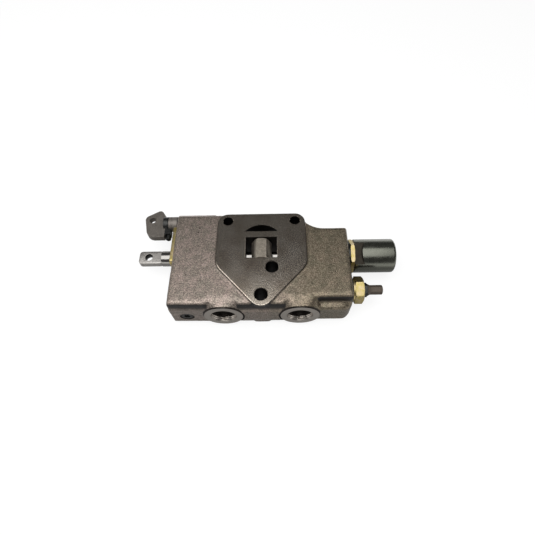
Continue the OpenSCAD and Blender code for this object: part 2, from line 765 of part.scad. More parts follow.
module cap_lock_ring() {
    color("goldenrod") difference() {
        intersection() {
            translate([0, -spool_y, axis_z]) hex_x(right_x, ring_end_x, ring_af, flat_turn + 30);
            turned_x(hex_chamfer(right_x, ring_end_x, ring_af, 1.2, 1.2), -spool_y, axis_z);
        }
        along_x(right_x - 1, ring_end_x + 1, neck_bore_r, -spool_y, axis_z);
    }
}

module cap_o_ring() {
    color("black") o_ring_x(right_x - cap_ring_wire_r, cap_neck_d / 2 + cap_ring_wire_r + 0.02,
        cap_ring_wire_r, -spool_y, axis_z);
}

module centring_spring() {
    color("silver") coil_x(spring_x, spring_len, spring_mean_d / 2, spring_wire_d / 2, 7,
        -spool_y, axis_z);
}

module inner_spring_seat() {
    color("gray") difference() {
        along_x(cap_floor_x, spring_x, inner_seat_r, -spool_y, axis_z);
        along_x(cap_floor_x - 1, spring_x + 1, shank_d / 2 + run_gap, -spool_y, axis_z);
    }
}

module outer_spring_seat() {
    color("gray") difference() {
        along_x(shank_end_x, head_x, seat_d / 2, -spool_y, axis_z);
        along_x(shank_end_x - 1, head_x + 1, end_screw_d / 2 + thread_gap, -spool_y, axis_z);
    }
}

module spool_end_screw() {
    color("dimgray") difference() {
        union() {
            along_x(shank_end_x - end_screw_len + 1, head_x, end_screw_d / 2, -spool_y, axis_z);
            along_x(head_x, head_end_x, end_screw_d * 0.83, -spool_y, axis_z);
        }
        translate([0, -spool_y, axis_z])
            hex_x(head_end_x - end_screw_head * 0.6, head_end_x + 1, end_screw_d * 0.83, 0);
    }
}

// ---- Flow control ----

// Wing outline: pointed rear side, straight front side, rounded ends
module blade_outline() {
    top = flow_y + blade_rear;
    low = flow_y - blade_front;
    tip_r = 3.4;
    tip = [blade_edge_x - 7.6, top - tip_r];
    shoulder_r = 4.5;
    shoulder = [blade_end_x + shoulder_r, flow_y + blade_rear * 0.3];
    heel_r = 8;
    heel = [blade_end_x + heel_r + 2.6, low + heel_r];
    hull() {
        translate(tip) circle(r = tip_r, $fn = 32);
        translate(shoulder) circle(r = shoulder_r, $fn = 32);
        translate(heel) circle(r = heel_r, $fn = 48);
        translate([blade_edge_x - 1, low]) square([1, blade_front + blade_rear * 0.36]);
    }
}

module flow_lever_blade() {
    color("dimgray") difference() {
        translate([0, 0, flow_z - blade_t / 2]) linear_extrude(blade_t) blade_outline();
        along_x(hub_x, blade_edge_x + 1, hub_d / 2 + 0.02, flow_y, flow_z);
        translate([lug_x - 0.02, flow_y - far, flow_z - blade_t]) cube([far, far, 2 * blade_t]);
        translate([blade_end_x + blade_hole_inset, flow_y + blade_hole_rear, 0])
            cylinder(h = stack_pitch, d = blade_hole_d);
    }
}

module flow_lever_hub() {
    color("black") difference() {
        union() {
            along_x(hub_x, hub_x + hub_len, hub_d / 2, flow_y, flow_z);
            translate([lug_x, lug_y, flow_z - lug_h / 2]) cube([lug_end_x - lug_x, lug_len, lug_h]);
            translate([lug_x, lug_y, flow_z - lug_h / 2])
                cube([hub_x + hub_len - lug_x, flow_y - lug_y, lug_h]);
        }
        along_x(hub_x + 0.6, hub_x + hub_len + 1, spindle_d / 2 + 0.02, flow_y, flow_z);
        along_y(lug_y - 1, lug_y + lug_len + 1, lock_screw_d / 2 + thread_gap, lock_screw_x, flow_z);
    }
}

// Screw whose tip stands just clear of the gland
module lever_lock_screw() {
    head_r = lock_screw_d * 0.85;
    color("black") difference() {
        turned_y([[lug_y - lock_head_h, 0], [lug_y - lock_head_h, head_r - 0.9],
            [lug_y - lock_head_h + 0.9, head_r], [lug_y, head_r], [lug_y, lock_screw_d / 2],
            [lug_y + lug_len, lock_screw_d / 2], [lug_y + lug_len, 0]], lock_screw_x, flow_z);
        translate([lock_screw_x, lug_y - lock_head_h - 1, flow_z]) rotate([-90, 0, 0])
            cylinder(h = lock_head_h * 0.55 + 1, d = lock_screw_d * 0.9, $fn = 6);
    }
}

module flow_spindle() {
    color("silver") difference() {
        turned_x([[spindle_x, 0], [spindle_x, spindle_d / 2], [meter_x, spindle_d / 2],
            [meter_x, meter_d / 2], [meter_end_x, meter_d / 2], [meter_end_x, 0]], flow_y, flow_z);
        // metering flat, and groove for the spindle O-ring
        translate([meter_end_x - 9, flow_y - meter_d, flow_z - meter_d / 2])
            cube([10, 2 * meter_d, meter_d / 3]);
        difference() {
            along_x(gland_end_x - 5, gland_end_x - 3, spindle_d / 2 + 1, flow_y, flow_z);
            along_x(gland_end_x - 6, gland_end_x - 2, spindle_d / 2 - 1, flow_y, flow_z);
        }
    }
}

module spindle_gland() {
    color("slategray") difference() {
        turned_x([[gland_x, 0], [gland_x, gland_d / 2 - 0.5], [gland_x + 0.5, gland_d / 2],
            [gland_seal_x, gland_d / 2], [gland_seal_x, gland_thread_d / 2],
            [gland_end_x, gland_thread_d / 2], [gland_end_x, 0]], flow_y, flow_z);
        along_x(gland_x - 1, gland_end_x + 1, spindle_d / 2 + run_gap, flow_y, flow_z);
    }
}

module gland_seal() {
    color("black") difference() {
        along_x(gland_seal_x, left_x, gland_d / 2 - 0.4, flow_y, flow_z);
        along_x(gland_seal_x - 1, left_x + 1, flow_bore_r, flow_y, flow_z);
    }
}

module spindle_o_ring() {
    wire_r = 0.49;
    color("black") o_ring_x(gland_end_x - 4, spindle_d / 2 - wire_r, wire_r, flow_y, flow_z);
}

// ---- Relief cartridge ----

module relief_cartridge_body() {
    color("gold") difference() {
        union() {
            along_x(relief_nose_x, relief_face_x, relief_r, -relief_y, axis_z);
            along_x(relief_face_x, relief_hex_x + 0.1, relief_af / 2 - 0.6, -relief_y, axis_z);
            intersection() {
                translate([0, -relief_y, axis_z]) hex_x(relief_hex_x, relief_end_x, relief_af, relief_turn);
                turned_x(hex_chamfer(relief_hex_x, relief_end_x, relief_af, 0.8, 2.4), -relief_y, axis_z);
            }
        }
        along_x(relief_nose_x - 1, relief_seat_x, 3, -relief_y, axis_z);
        along_x(relief_seat_x, relief_chamber_end_x, relief_chamber_r, -relief_y, axis_z);
        along_x(relief_chamber_end_x - 1, relief_end_x + 1, adjust_d / 2 + run_gap, -relief_y, axis_z);
        // four return holes
        for (a = [0:90:270])
            translate([poppet_tip_x + 1.5, -relief_y, axis_z]) rotate([a + 45, 0, 0])
                cylinder(h = relief_r + 1, r = 1.3);
    }
}

module relief_bonded_seal() {
    color("black") difference() {
        along_x(right_x, relief_face_x, relief_af / 2 + 0.3, -relief_y, axis_z);
        along_x(right_x - 1, relief_face_x + 1, relief_r + thread_gap, -relief_y, axis_z);
    }
}

module relief_seat() {
    color("silver") difference() {
        along_x(relief_seat_x, poppet_tip_x, relief_chamber_r - thread_gap, -relief_y, axis_z);
        along_x(relief_seat_x - 1, poppet_tip_x + 1, 1.8, -relief_y, axis_z);
    }
}

module relief_poppet() {
    color("silver") turned_x([[poppet_tip_x - 1.2, 0], [poppet_tip_x - 1.2, 0.6],
        [poppet_tip_x + 0.1, 1.72], [poppet_tip_x + 2.3, 3.6],
        [relief_spring_x, 3.6], [relief_spring_x, 2.4], [relief_spring_x + 3, 2.4],
        [relief_spring_x + 3, 0]], -relief_y, axis_z);
}

module relief_spring() {
    color("silver") coil_x(relief_spring_x, relief_spring_len, 3.7, 0.8, 5, -relief_y, axis_z);
}

module relief_spring_disc() {
    color("gray") along_x(relief_spring_end_x, adjust_in_x, relief_chamber_r - 0.2, -relief_y, axis_z);
}

module relief_adjusting_screw() {
    drive_r = adjust_af / cos(30) / 2;
    color("dimgray") {
        turned_x([[adjust_in_x, 0], [adjust_in_x, adjust_d / 2 - 0.6], [adjust_in_x + 0.6, adjust_d / 2],
            [adjust_shoulder_x, adjust_d / 2], [adjust_shoulder_x, adjust_d / 2 + 1.4],
            [adjust_drive_x, drive_r], [adjust_drive_x, 0]], -relief_y, axis_z);
        intersection() {
            translate([0, -relief_y, axis_z])
                hex_x(adjust_drive_x - 0.5, adjust_end_x, adjust_af, relief_turn);
            turned_x(hex_chamfer(adjust_drive_x - 1, adjust_end_x, adjust_af, 0.01, 1),
                -relief_y, axis_z);
        }
    }
}

module relief_lock_nut() {
    color("black") difference() {
        intersection() {
            translate([0, -relief_y, axis_z]) hex_x(nut_x, nut_end_x, nut_af, relief_turn);
            turned_x(hex_chamfer(nut_x, nut_end_x, nut_af, 0.5, 0.5), -relief_y, axis_z);
        }
        along_x(nut_x - 1, nut_end_x + 1, adjust_d / 2 + run_gap, -relief_y, axis_z);
    }
}

// ---- Check valve in the pressure gallery ----

module check_valve_body() {
    color("darkkhaki") difference() {
        union() {
            along_y(check_stub_y, check_front_y + 1, check_stub_d / 2, 0, check_z);
            intersection() {
                translate([0, check_front_y, check_z]) rotate([-90, 0, 0])
                    cylinder(h = check_len, d = check_af / cos(30), $fn = 6);
                turned_y(hex_chamfer(check_front_y, check_back_y, check_af, 0.6, 1.4), 0, check_z);
            }
        }
        along_y(check_stub_y - 1, check_back_y + 1, check_seat_r, 0, check_z);
        along_y(check_spring_end_y, check_seat_y, ball_r + run_gap, 0, check_z);
    }
}

module check_ball() {
    color("silver") translate([0, ball_y, check_z]) rotate([-90, 0, 0]) sphere(r = ball_r);
}

module check_spring() {
    wire_r = 0.3;
    color("silver") translate([0, check_spring_y, check_z]) rotate([0, 0, -90])
        coil_x(0, check_spring_y - check_spring_end_y, ball_r * 0.8 - wire_r, wire_r, 7, 0, 0);
}

// ---- Plug in the front face ----

module gallery_plug() {
    color("dimgray") difference() {
        along_y(plug_y, plug_y + plug_len, plug_d / 2, plug_x, plug_z);
        translate([plug_x, plug_y - 1, plug_z]) rotate([-90, 0, 0])
            cylinder(h = plug_len / 2 + 1, d = plug_d * 0.58, $fn = 6);
    }
}

valve_body();
spool();
rod_seal();
wiper_ring();
spool_retaining_plate();
plate_screws();
spring_cap();
cap_lock_ring();
cap_o_ring();
centring_spring();
inner_spring_seat();
outer_spring_seat();
spool_end_screw();
flow_lever_blade();
flow_lever_hub();
lever_lock_screw();
flow_spindle();
spindle_gland();
gland_seal();
spindle_o_ring();
relief_cartridge_body();
relief_bonded_seal();
relief_seat();
relief_poppet();
relief_spring();
relief_spring_disc();
relief_adjusting_screw();
relief_lock_nut();
check_valve_body();
check_ball();
check_spring();
gallery_plug();
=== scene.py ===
"""Working section of a stackable hydraulic directional valve, dressed for rendering.

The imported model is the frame. Each operator gives one piece, or a group of like pieces,
its shape and finish, and the last one sets up the stage.
"""

import json
import math

import bmesh
import bpy
import numpy as np
from bpy.props import FloatProperty, FloatVectorProperty, IntProperty, PointerProperty
from mathutils import Euler, Matrix, Vector

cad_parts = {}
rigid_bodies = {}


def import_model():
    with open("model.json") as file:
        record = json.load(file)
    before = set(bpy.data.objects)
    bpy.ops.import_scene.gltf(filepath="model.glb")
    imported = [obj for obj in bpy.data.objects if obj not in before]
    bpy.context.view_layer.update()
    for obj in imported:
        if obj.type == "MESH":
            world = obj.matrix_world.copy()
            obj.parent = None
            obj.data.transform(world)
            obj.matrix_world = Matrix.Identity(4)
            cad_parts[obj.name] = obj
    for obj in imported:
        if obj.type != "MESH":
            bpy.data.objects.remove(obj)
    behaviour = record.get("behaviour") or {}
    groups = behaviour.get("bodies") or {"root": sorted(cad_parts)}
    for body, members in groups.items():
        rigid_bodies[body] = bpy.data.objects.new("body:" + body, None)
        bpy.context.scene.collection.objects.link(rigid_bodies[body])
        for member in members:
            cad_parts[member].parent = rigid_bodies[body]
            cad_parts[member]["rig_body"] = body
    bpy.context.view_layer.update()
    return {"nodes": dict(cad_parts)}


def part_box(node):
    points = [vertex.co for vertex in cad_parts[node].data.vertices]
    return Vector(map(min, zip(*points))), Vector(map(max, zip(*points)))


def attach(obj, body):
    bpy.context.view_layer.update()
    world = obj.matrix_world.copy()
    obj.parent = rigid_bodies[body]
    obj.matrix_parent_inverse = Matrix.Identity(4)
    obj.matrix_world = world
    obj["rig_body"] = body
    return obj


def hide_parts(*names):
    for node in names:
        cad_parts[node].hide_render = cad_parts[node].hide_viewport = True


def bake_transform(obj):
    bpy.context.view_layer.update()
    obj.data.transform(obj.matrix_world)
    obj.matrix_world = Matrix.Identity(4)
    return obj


bl_info = {
    "name": "Directional Valve Section",
    "version": (1, 0, 0),
    "blender": (4, 5, 0),
    "location": "3D View > Sidebar > Valve",
    "description": "Builds the castings, turned parts and finishes of a stackable valve section",
    "category": "Object",
}

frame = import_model()

# Pieces are made in millimetres and scaled once, when they are placed
MM = 0.001


def box_mm(node):
    """Lowest and highest corner of a CAD node in millimetres."""
    low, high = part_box(node)
    return low / MM, high / MM


def middle(node):
    low, high = box_mm(node)
    return (low + high) / 2


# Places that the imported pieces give, in millimetres
BODY_LOW, BODY_HIGH = box_mm("valve_body")
CAP_LOW, CAP_HIGH = box_mm("spring_cap")
CHECK_LOW, CHECK_HIGH = box_mm("check_valve_body")

# Where the axes of the bores pass: (Y, Z) for the ones along X, (X, Z) for the ones along Y
SPOOL_AXIS = tuple(middle("spool").yz)
FLOW_AXIS = tuple(middle("spindle_gland").yz)
RELIEF_AXIS = tuple(middle("relief_bonded_seal").yz)
PLUG_AXIS = tuple(middle("gallery_plug").xz)
CHECK_AXIS = (0, (CHECK_LOW.z + CHECK_HIGH.z) / 2)

# Stacking pads and cast faces
PAD_STEP = 2.0
CAST_LOW, CAST_HIGH = PAD_STEP, BODY_HIGH.z - PAD_STEP
PARTING_Z = 29.0
FRONT_Y = -81.0
PORT_X, PORT_Z, PORT_FACE_Y = 32.3, 18.5, BODY_LOW.y
BOSS_R = 17.0
TIE_X, TIE_R, TIE_FRONT_Y, TIE_FRONT_R = 30.0, 4.5, -73.4, 5.55
NOSE_R, FLANK_R, PAD_CORNER_R = 9.9, 16.0, 9.0
FLANK = (23.0, -39.1)
WINDOW_HALF, WINDOW_NEAR, WINDOW_FAR = 13.75, -38.6, -17.7
TANK_Y, TANK_R, TANK_EDGE_Y = -22.9, 18.4, -11.3
SENSE, SENSE_R = (9.1, -47.9), 5.6
RIB_END_X = -42.8
CAST_PITS = ((-55.5, -5.9, 0.8), (-56.0, -10.9, 0.7), (62.0, -52.5, 0.6))

# Bores and threads
PORT_CORE_R, PORT_PITCH, THREAD_DEPTH = 10.2, 1.5, 0.55
SPOOL_BORE_R, WORK_RING_R, TANK_RING_R = 7.13, 9.1, 13.5
WORK_RING_HALF, TANK_RING_X, TANK_RING_HALF = 5.25, 50.0, 4.0
CAP_NECK_R, FLOW_BORE_R, NUT_THREAD_R = 12.45, 4.53, 4.03
RELIEF_BORE_R, RELIEF_CROSS_X = 8.2, 54.5
PLATE_SCREWS = ((-8.0, 9.9), (-34.5, 30.9))
TANG_LENGTH = 21.0

MULTIPLY = {"data_type": "RGBA", "blend_type": "MULTIPLY"}
SMOOTH = {"interpolation_type": "SMOOTHSTEP"}


# ---------------------------------------------------------------- colours and nodes


def linear(code):
    """sRGB hex code as a linear RGBA colour."""
    parts = [int(code[i : i + 2], 16) / 255 for i in (1, 3, 5)]
    return tuple(
        c / 12.92 if c <= 0.04045 else ((c + 0.055) / 1.055) ** 2.4 for c in parts
    ) + (1.0,)


def colour_property(name, description, code):
    return FloatVectorProperty(
        name=name, description=description, default=linear(code), size=4, min=0, max=1, subtype="COLOR"
    )


def length_property(name, description, millimetres):
    return FloatProperty(
        name=name, description=description, default=millimetres * MM, min=0, unit="LENGTH", precision=5
    )


def add(tree, kind, values=None, links=None, **settings):
    """Adds a node with its settings, input values and incoming links."""
    node = tree.nodes.new(kind)
    for key, value in settings.items():
        setattr(node, key, value)
    for key, value in (values or {}).items():
        node.inputs[key].default_value = value
    for key, source in (links or {}).items():
        out = source.outputs[0] if isinstance(source, bpy.types.Node) else source
        tree.links.new(out, node.inputs[key])
    return node


def cleared(block):
    """Empty node tree of a material or world."""
    block.use_nodes = True
    block.node_tree.nodes.clear()
    return block.node_tree


def new_material(name):
    """Empty material with a Principled shader on its output."""
    material = bpy.data.materials.new(name)
    tree = cleared(material)
    shader = add(tree, "ShaderNodeBsdfPrincipled")
    add(tree, "ShaderNodeOutputMaterial", links={"Surface": shader})
    coords = add(tree, "ShaderNodeTexCoord").outputs["Object"]
    return material, tree, shader, coords


def ramp(tree, source, stops):
    """Colour ramp through (place, colour) stops, fed by source."""
    node = add(tree, "ShaderNodeValToRGB", links={"Fac": source})
    elements = node.color_ramp.elements
    while len(elements) < len(stops):
        elements.new(0.5)
    for element, (place, colour) in zip(elements, stops):
        element.position = place
        element.color = colour
    return node


def shade(colour, factor):
    """Colour made lighter or darker by factor."""
    return tuple(min(1.0, c * factor) for c in colour[:3]) + (1.0,)


def patterns(tree, coords, *layers):
    """Noise patterns, each given as (size in millimetres, detail, roughness)."""
    return [
        add(tree, "ShaderNodeTexNoise", {"Scale": 1 / (size * MM), "Detail": detail, "Roughness": rough},
            {"Vector": coords})
        for size, detail, rough in layers
    ]


def finished(tree, shader, colour, gloss, bump, metallic=1.0):
    """Links a finish to its shader.

    gloss is (pattern, roughness where it is low, roughness where it is high), and bump is
    (pattern, strength, height in millimetres).
    """
    pattern, low, high = gloss
    rough = add(tree, "ShaderNodeMapRange",
        {"From Min": 0.3, "From Max": 0.7, "To Min": low, "To Max": high}, {"Value": pattern})
    pattern, strength, height = bump
    relief = add(tree, "ShaderNodeBump", {"Strength": strength, "Distance": height * MM}, {"Height": pattern})
    shader.inputs["Metallic"].default_value = metallic
    for key, out in (("Base Color", colour), ("Roughness", rough.outputs[0]), ("Normal", relief.outputs[0])):
        tree.links.new(out, shader.inputs[key])


# ---------------------------------------------------------------- finishes


def cast_iron_skin(look):
    """Shot-blasted grey iron casting.

    The blast leaves fine bright peaks in a dull grey-brown skin, with faint mottling and a soft sheen.
    Steep walls that face the front above the parting line, and the steep faces of the rounded top edge
    on the other sides, are painted almost black as painted shade. The cap end is more olive and a little
    darker, partly painted shade as if the light fell from the left.
    """
    material, tree, shader, coords = new_material("cast_iron_shot_blasted")
    # peening dimples are about 0.5 mm; drawn at 0.75 mm so that they show
    speckle, mottle = patterns(tree, coords, (0.75, 4, 0.7), (7, 5, 0.62))
    dip, level, peak = (shade(look.skin, share) for share in (0.32, 0.95, 1.9))
    toned = ramp(tree, speckle, [(0.36, dip), (0.5, level), (0.64, peak)])
    warm = ramp(tree, mottle, [(0.36, linear("#dddcd2")), (0.64, linear("#fff6ef"))])
    at = add(tree, "ShaderNodeSeparateXYZ", links={0: coords}).outputs
    normal = add(tree, "ShaderNodeTexCoord").outputs["Normal"]
    facing = add(tree, "ShaderNodeSeparateXYZ", links={0: normal}).outputs
    cap_end, front, top_edge, above, steep = (
        add(tree, "ShaderNodeMapRange", {"From Min": start, "From Max": end}, {"Value": value}, **SMOOTH)
        for value, start, end in (
            (at["X"], -20 * MM, 45 * MM),
            (facing["Y"], -0.4, -0.75),
            (at["Z"], (CAST_HIGH - 4.0) * MM, (CAST_HIGH - 1.0) * MM),
            (at["Z"], (PARTING_Z - 3.5) * MM, (PARTING_Z + 3.5) * MM),
            (facing["Z"], 0.76, 0.4),
        )
    )
    # towards the cap end the skin is more olive and a little darker; the darkening is partly painted shade, as
    # if the light fell from the left
    olive = ramp(tree, cap_end, [(0.0, (1, 1, 1, 1)), (1.0, linear("#dcdccb"))])
    for tint in (warm, olive):
        toned = add(tree, "ShaderNodeMix", {"Factor": 1.0}, {6: toned, 7: tint}, **MULTIPLY).outputs[2]
    # painted shade: steep walls are painted almost black above the parting line where they face the front, and
    # near the top edge on the other sides
    rise = add(tree, "ShaderNodeMix", links={"Factor": front, 2: top_edge, 3: above}, data_type="FLOAT")
    painted_shade_mask = add(tree, "ShaderNodeMath", links={0: steep, 1: rise}, operation="MULTIPLY")
    painted_shade = add(tree, "ShaderNodeMix", {7: shade(look.skin, 0.05)}, {"Factor": painted_shade_mask, 6: toned}, data_type="RGBA")
    pits = add(tree, "ShaderNodeTexVoronoi", {"Scale": 1 / (3.1 * MM), "Randomness": 1.0}, {"Vector": coords})
    pit = add(tree, "ShaderNodeMapRange",
        {"From Min": 0.04, "From Max": 0.12, "To Min": 0.0, "To Max": 0.35}, {"Value": pits})
    relief = add(tree, "ShaderNodeMath", links={0: speckle, 1: pit}, operation="ADD")
    finished(tree, shader, painted_shade.outputs[2], (speckle, 0.44, 0.28), (relief, 0.45, 0.5), 0.75)
    return material


def ground_iron(look):
    """Face-ground grey iron.

    The stacking faces are ground flat, so they mirror their surroundings softly, through fine crossed
    scratches and the dark flecks of the graphite.
    """
    material, tree, shader, coords = new_material("grey_iron_face_ground")
    flecks, stains = patterns(tree, coords, (0.8, 3, 0.7), (18, 4, 0.6))
    dark, light = shade(look.ground, 0.45), shade(look.ground, 1.7)
    tone = ramp(tree, flecks, [(0.34, dark), (0.5, look.ground), (0.66, light)])
    film = ramp(tree, stains, [(0.3, linear("#ebe4de")), (0.7, linear("#ffffff"))])
    tinted = add(tree, "ShaderNodeMix", {"Factor": 1.0}, {6: tone, 7: film}, **MULTIPLY)
    crossed = add(tree, "ShaderNodeMapping",
        {"Rotation": (0, 0, math.radians(38)), "Scale": (1, 14, 1)}, {"Vector": coords})
    (scratches,) = patterns(tree, crossed, (2.5, 2, 0.5))
    relief = add(tree, "ShaderNodeMath", links={0: scratches, 1: flecks}, operation="ADD")
    finished(tree, shader, tinted.outputs[2], (stains, 0.18, 0.22), (relief, 0.2, 0.03))
    return material


def turned_metal(name, colour, roughness, axis="X", mark=0.35, depth=0.02, spread=0.12, metallic=1.0):
    """Metal finished on a lathe.

    Feed marks run round the axis, so the gloss stretches across them, and handling leaves faint clouds.
    mark is their spacing and depth their height in millimetres.
    """
    material, tree, shader, coords = new_material(name)
    along = 1 / (mark * MM)
    scale = (along, 30, 30) if axis == "X" else (30, along, 30)
    stretched = add(tree, "ShaderNodeMapping", {"Scale": scale}, {"Vector": coords})
    marks = add(tree, "ShaderNodeTexNoise",
        {"Scale": 1.0, "Detail": 3, "Roughness": 0.6}, {"Vector": stretched})
    (clouds,) = patterns(tree, coords, (4, 4, 0.65))
    blend = add(tree, "ShaderNodeMix", {"Factor": 0.5}, {2: marks, 3: clouds}, data_type="FLOAT")
    dark, light = shade(colour, 1 - spread * 2), shade(colour, 1 + spread * 2)
    tone = ramp(tree, blend.outputs[0], [(0.3, dark), (0.5, colour), (0.7, light)])
    gloss = (clouds, roughness * 0.8, roughness * 1.25)
    finished(tree, shader, tone.outputs[0], gloss, (marks, 0.5, depth), metallic)
    return material


def plated_steel(name, colour, tint, roughness, cloud=3.0, grain=0.5, metallic=1.0):
    """Steel with a conversion coating, such as yellow zinc or manganese phosphate.

    The coating follows the metal under it and drifts in hue over a few millimetres, with fine crystals
    that break up the gloss. cloud and grain are the sizes of both in millimetres.
    """
    material, tree, shader, coords = new_material(name)
    drift, crystals = patterns(tree, coords, (cloud, 3, 0.55), (grain, 3, 0.7))
    hue = ramp(tree, drift, [(0.35, colour), (0.68, tint)])
    speck = ramp(tree, crystals, [(0.3, linear("#c4c4c4")), (0.6, linear("#ffffff"))])
    tone = add(tree, "ShaderNodeMix", {"Factor": 1.0}, {6: hue, 7: speck}, **MULTIPLY)
    gloss = (crystals, roughness * 0.8, roughness * 1.3)
    finished(tree, shader, tone.outputs[2], gloss, (crystals, 0.35, 0.05), metallic)
    return material


def nitrile_rubber(name, colour):
    """Moulded nitrile rubber: black, matt, with a faint bloom of wax on its skin."""
    material, tree, shader, coords = new_material(name)
    (bloom,) = patterns(tree, coords, (1.2, 4, 0.6))
    tone = ramp(tree, bloom, [(0.35, colour), (0.75, shade(colour, 2.2))])
    finished(tree, shader, tone.outputs[0], (bloom, 0.55, 0.75), (bloom, 0.2, 0.04), 0.0)
    return material


# ---------------------------------------------------------------- mesh tools


def mesh_object(name, points, faces, materials=()):
    """Object at the origin with this mesh, in millimetres, its faces pointing outwards."""
    mesh = bpy.data.meshes.new(name)
    mesh.from_pydata([tuple(p) for p in points], [], [tuple(f) for f in faces])
    for material in materials:
        mesh.materials.append(material)
    work = bmesh.new()
    work.from_mesh(mesh)
    bmesh.ops.remove_doubles(work, verts=work.verts, dist=1e-5)
    bmesh.ops.recalc_face_normals(work, faces=work.faces)
    work.to_mesh(mesh)
    work.free()
    obj = bpy.data.objects.new(name, mesh)
    bpy.context.scene.collection.objects.link(obj)
    return obj


def turn_point(axis, centre, place, radius, angle):
    """Point on a circle about an axis through centre, which gives the other two coordinates."""
    u, v = radius * math.cos(angle), radius * math.sin(angle)
    return {
        "X": (place, centre[0] + u, centre[1] + v),
        "Y": (centre[0] + u, place, centre[1] + v),
        "Z": (centre[0] + u, centre[1] + v, place),
    }[axis]


def quads(count, rings, closed=False):
    """Faces that join rings of count points each. With closed, the last ring joins the first."""
    faces = []
    for ring in range(rings if closed else rings - 1):
        one, two = ring * count, (ring + 1) % rings * count
        for i in range(count):
            j = (i + 1) % count
            faces.append((one + i, one + j, two + j, two + i))
    return faces


def rim(name, outline, wide, low, high, reach, materials=()):
    """Cutter that chamfers the edge of a flat face: from wide inside the outline at high, down to it at low."""
    inner, outer = grown(outline, -wide), grown(outline, reach)
    drop = low - (high - low) / wide * reach
    rings = ((inner, high), (outer, drop), (outer, high + 1), (inner, high + 1))
    points = [(x, y, z) for shape, z in rings for x, y in shape]
    return mesh_object(name, points, quads(len(outline), len(rings), closed=True), materials)


def lathe(name, profile, axis, centre, steps=96, materials=(), ring=False):
    """Closed solid of revolution from (place, radius) pairs, which start and end on the axis.

    With ring, the profile is a closed loop off the axis.
    """
    points, rows = [], []
    for place, radius in profile:
        if radius < 1e-9:
            rows.append([len(points)] * steps)
            points.append(turn_point(axis, centre, place, 0, 0))
        else:
            rows.append(list(range(len(points), len(points) + steps)))
            points += [turn_point(axis, centre, place, radius, math.tau * i / steps) for i in range(steps)]
    pairs = list(zip(rows, rows[1:])) + ([(rows[-1], rows[0])] if ring else [])
    faces = []
    for a, b in pairs:
        for i in range(steps):
            j = (i + 1) % steps
            face = list(dict.fromkeys((a[i], a[j], b[j], b[i])))
            if len(face) > 2:
                faces.append(face)
    return mesh_object(name, points, faces, materials)


def rod(name, axis, centre, start, end, radius, steps=64, materials=()):
    """Plain cylinder along an axis."""
    return lathe(name, [(start, 0), (start, radius), (end, radius), (end, 0)], axis, centre, steps, materials)


def loft(name, layers, axis="Z", materials=()):
    """Solid through outlines with equal point counts, given as (outline, place along the axis)."""
    order = {"X": (2, 0, 1), "Y": (0, 2, 1), "Z": (0, 1, 2)}[axis]
    points = [tuple((p[0], p[1], at)[k] for k in order) for shape, at in layers for p in shape]
    count = len(layers[0][0])
    caps = [range(count), range(len(points) - count, len(points))]
    return mesh_object(name, points, caps + quads(count, len(layers)), materials)


def prism(name, outline, low, high, axis="Z", materials=(), chamfer=0.0):
    """Solid between two planes across an axis. With chamfer, both ends flare outwards by that much."""
    layers = [(outline, low), (outline, high)]
    if chamfer:
        wide, reach = grown(outline, chamfer), 3.0
        layers = [
            (wide, low - reach), (wide, low), (outline, low + chamfer),
            (outline, high - chamfer), (wide, high), (wide, high + reach),
        ]
    return loft(name, layers, axis, materials)


def grown(outline, by):
    """Convex anticlockwise outline moved outwards."""
    count, shape = len(outline), []
    for i in range(count):
        before, here, after = (Vector(outline[k % count]) for k in (i - 1, i, i + 1))
        one, two = (here - before).normalized(), (after - here).normalized()
        out_one, out_two = Vector((one.y, -one.x)), Vector((two.y, -two.x))
        bisector = (out_one + out_two).normalized()
        shape.append(tuple(here + bisector * by / max(0.3, bisector.dot(out_one))))
    return shape


def eased(path, width, closed=False):
    """Path with its corners cut back by width and rounded."""
    result, count = [], len(path)
    for i, point in enumerate(path):
        here = Vector(point)
        back, on = Vector(path[i - 1]) - here, Vector(path[(i + 1) % count]) - here
        if (not closed and i in (0, count - 1)) or back.angle(on) > math.radians(160):
            result.append(tuple(here))
            continue
        near = min(width, back.length * 0.45, on.length * 0.45)
        one, two = here + back.normalized() * near, here + on.normalized() * near
        result += [tuple(one), tuple((one + two + 2 * here) / 4), tuple(two)]
    return result


def plate(name, outline, low, high, axis="Z", edge=0.3):
    """Plate with a convex anticlockwise outline and broken edges."""
    inner, half, near = grown(outline, -edge), grown(outline, -edge * 0.3), edge * 0.3
    return loft(name, [
        (inner, low), (half, low + near), (outline, low + edge),
        (outline, high - edge), (half, high - near), (inner, high),
    ], axis)


def arc(centre, radius, start, end, steps=12):
    """Points on an arc, angles in degrees."""
    angles = [math.radians(start + (end - start) * i / steps) for i in range(steps + 1)]
    return [(centre[0] + radius * math.cos(a), centre[1] + radius * math.sin(a)) for a in angles]


def hexagon(across_flats, centre, turn):
    """Hexagon outline with its first flat turned by turn degrees."""
    radius = across_flats / 2 / math.cos(math.radians(30))
    return arc(centre, radius, turn + 30, turn + 330, 5)


def baked(obj):
    """obj with its modifiers turned into mesh."""
    graph = bpy.context.evaluated_depsgraph_get()
    mesh = bpy.data.meshes.new_from_object(obj.evaluated_get(graph))
    old = obj.data
    obj.modifiers.clear()
    obj.data = mesh
    mesh.name = obj.name
    if not old.users:
        bpy.data.meshes.remove(old)
    return obj


def coated(obj, material):
    """obj with this material alone."""
    obj.data.materials.clear()
    obj.data.materials.append(material)
    return obj


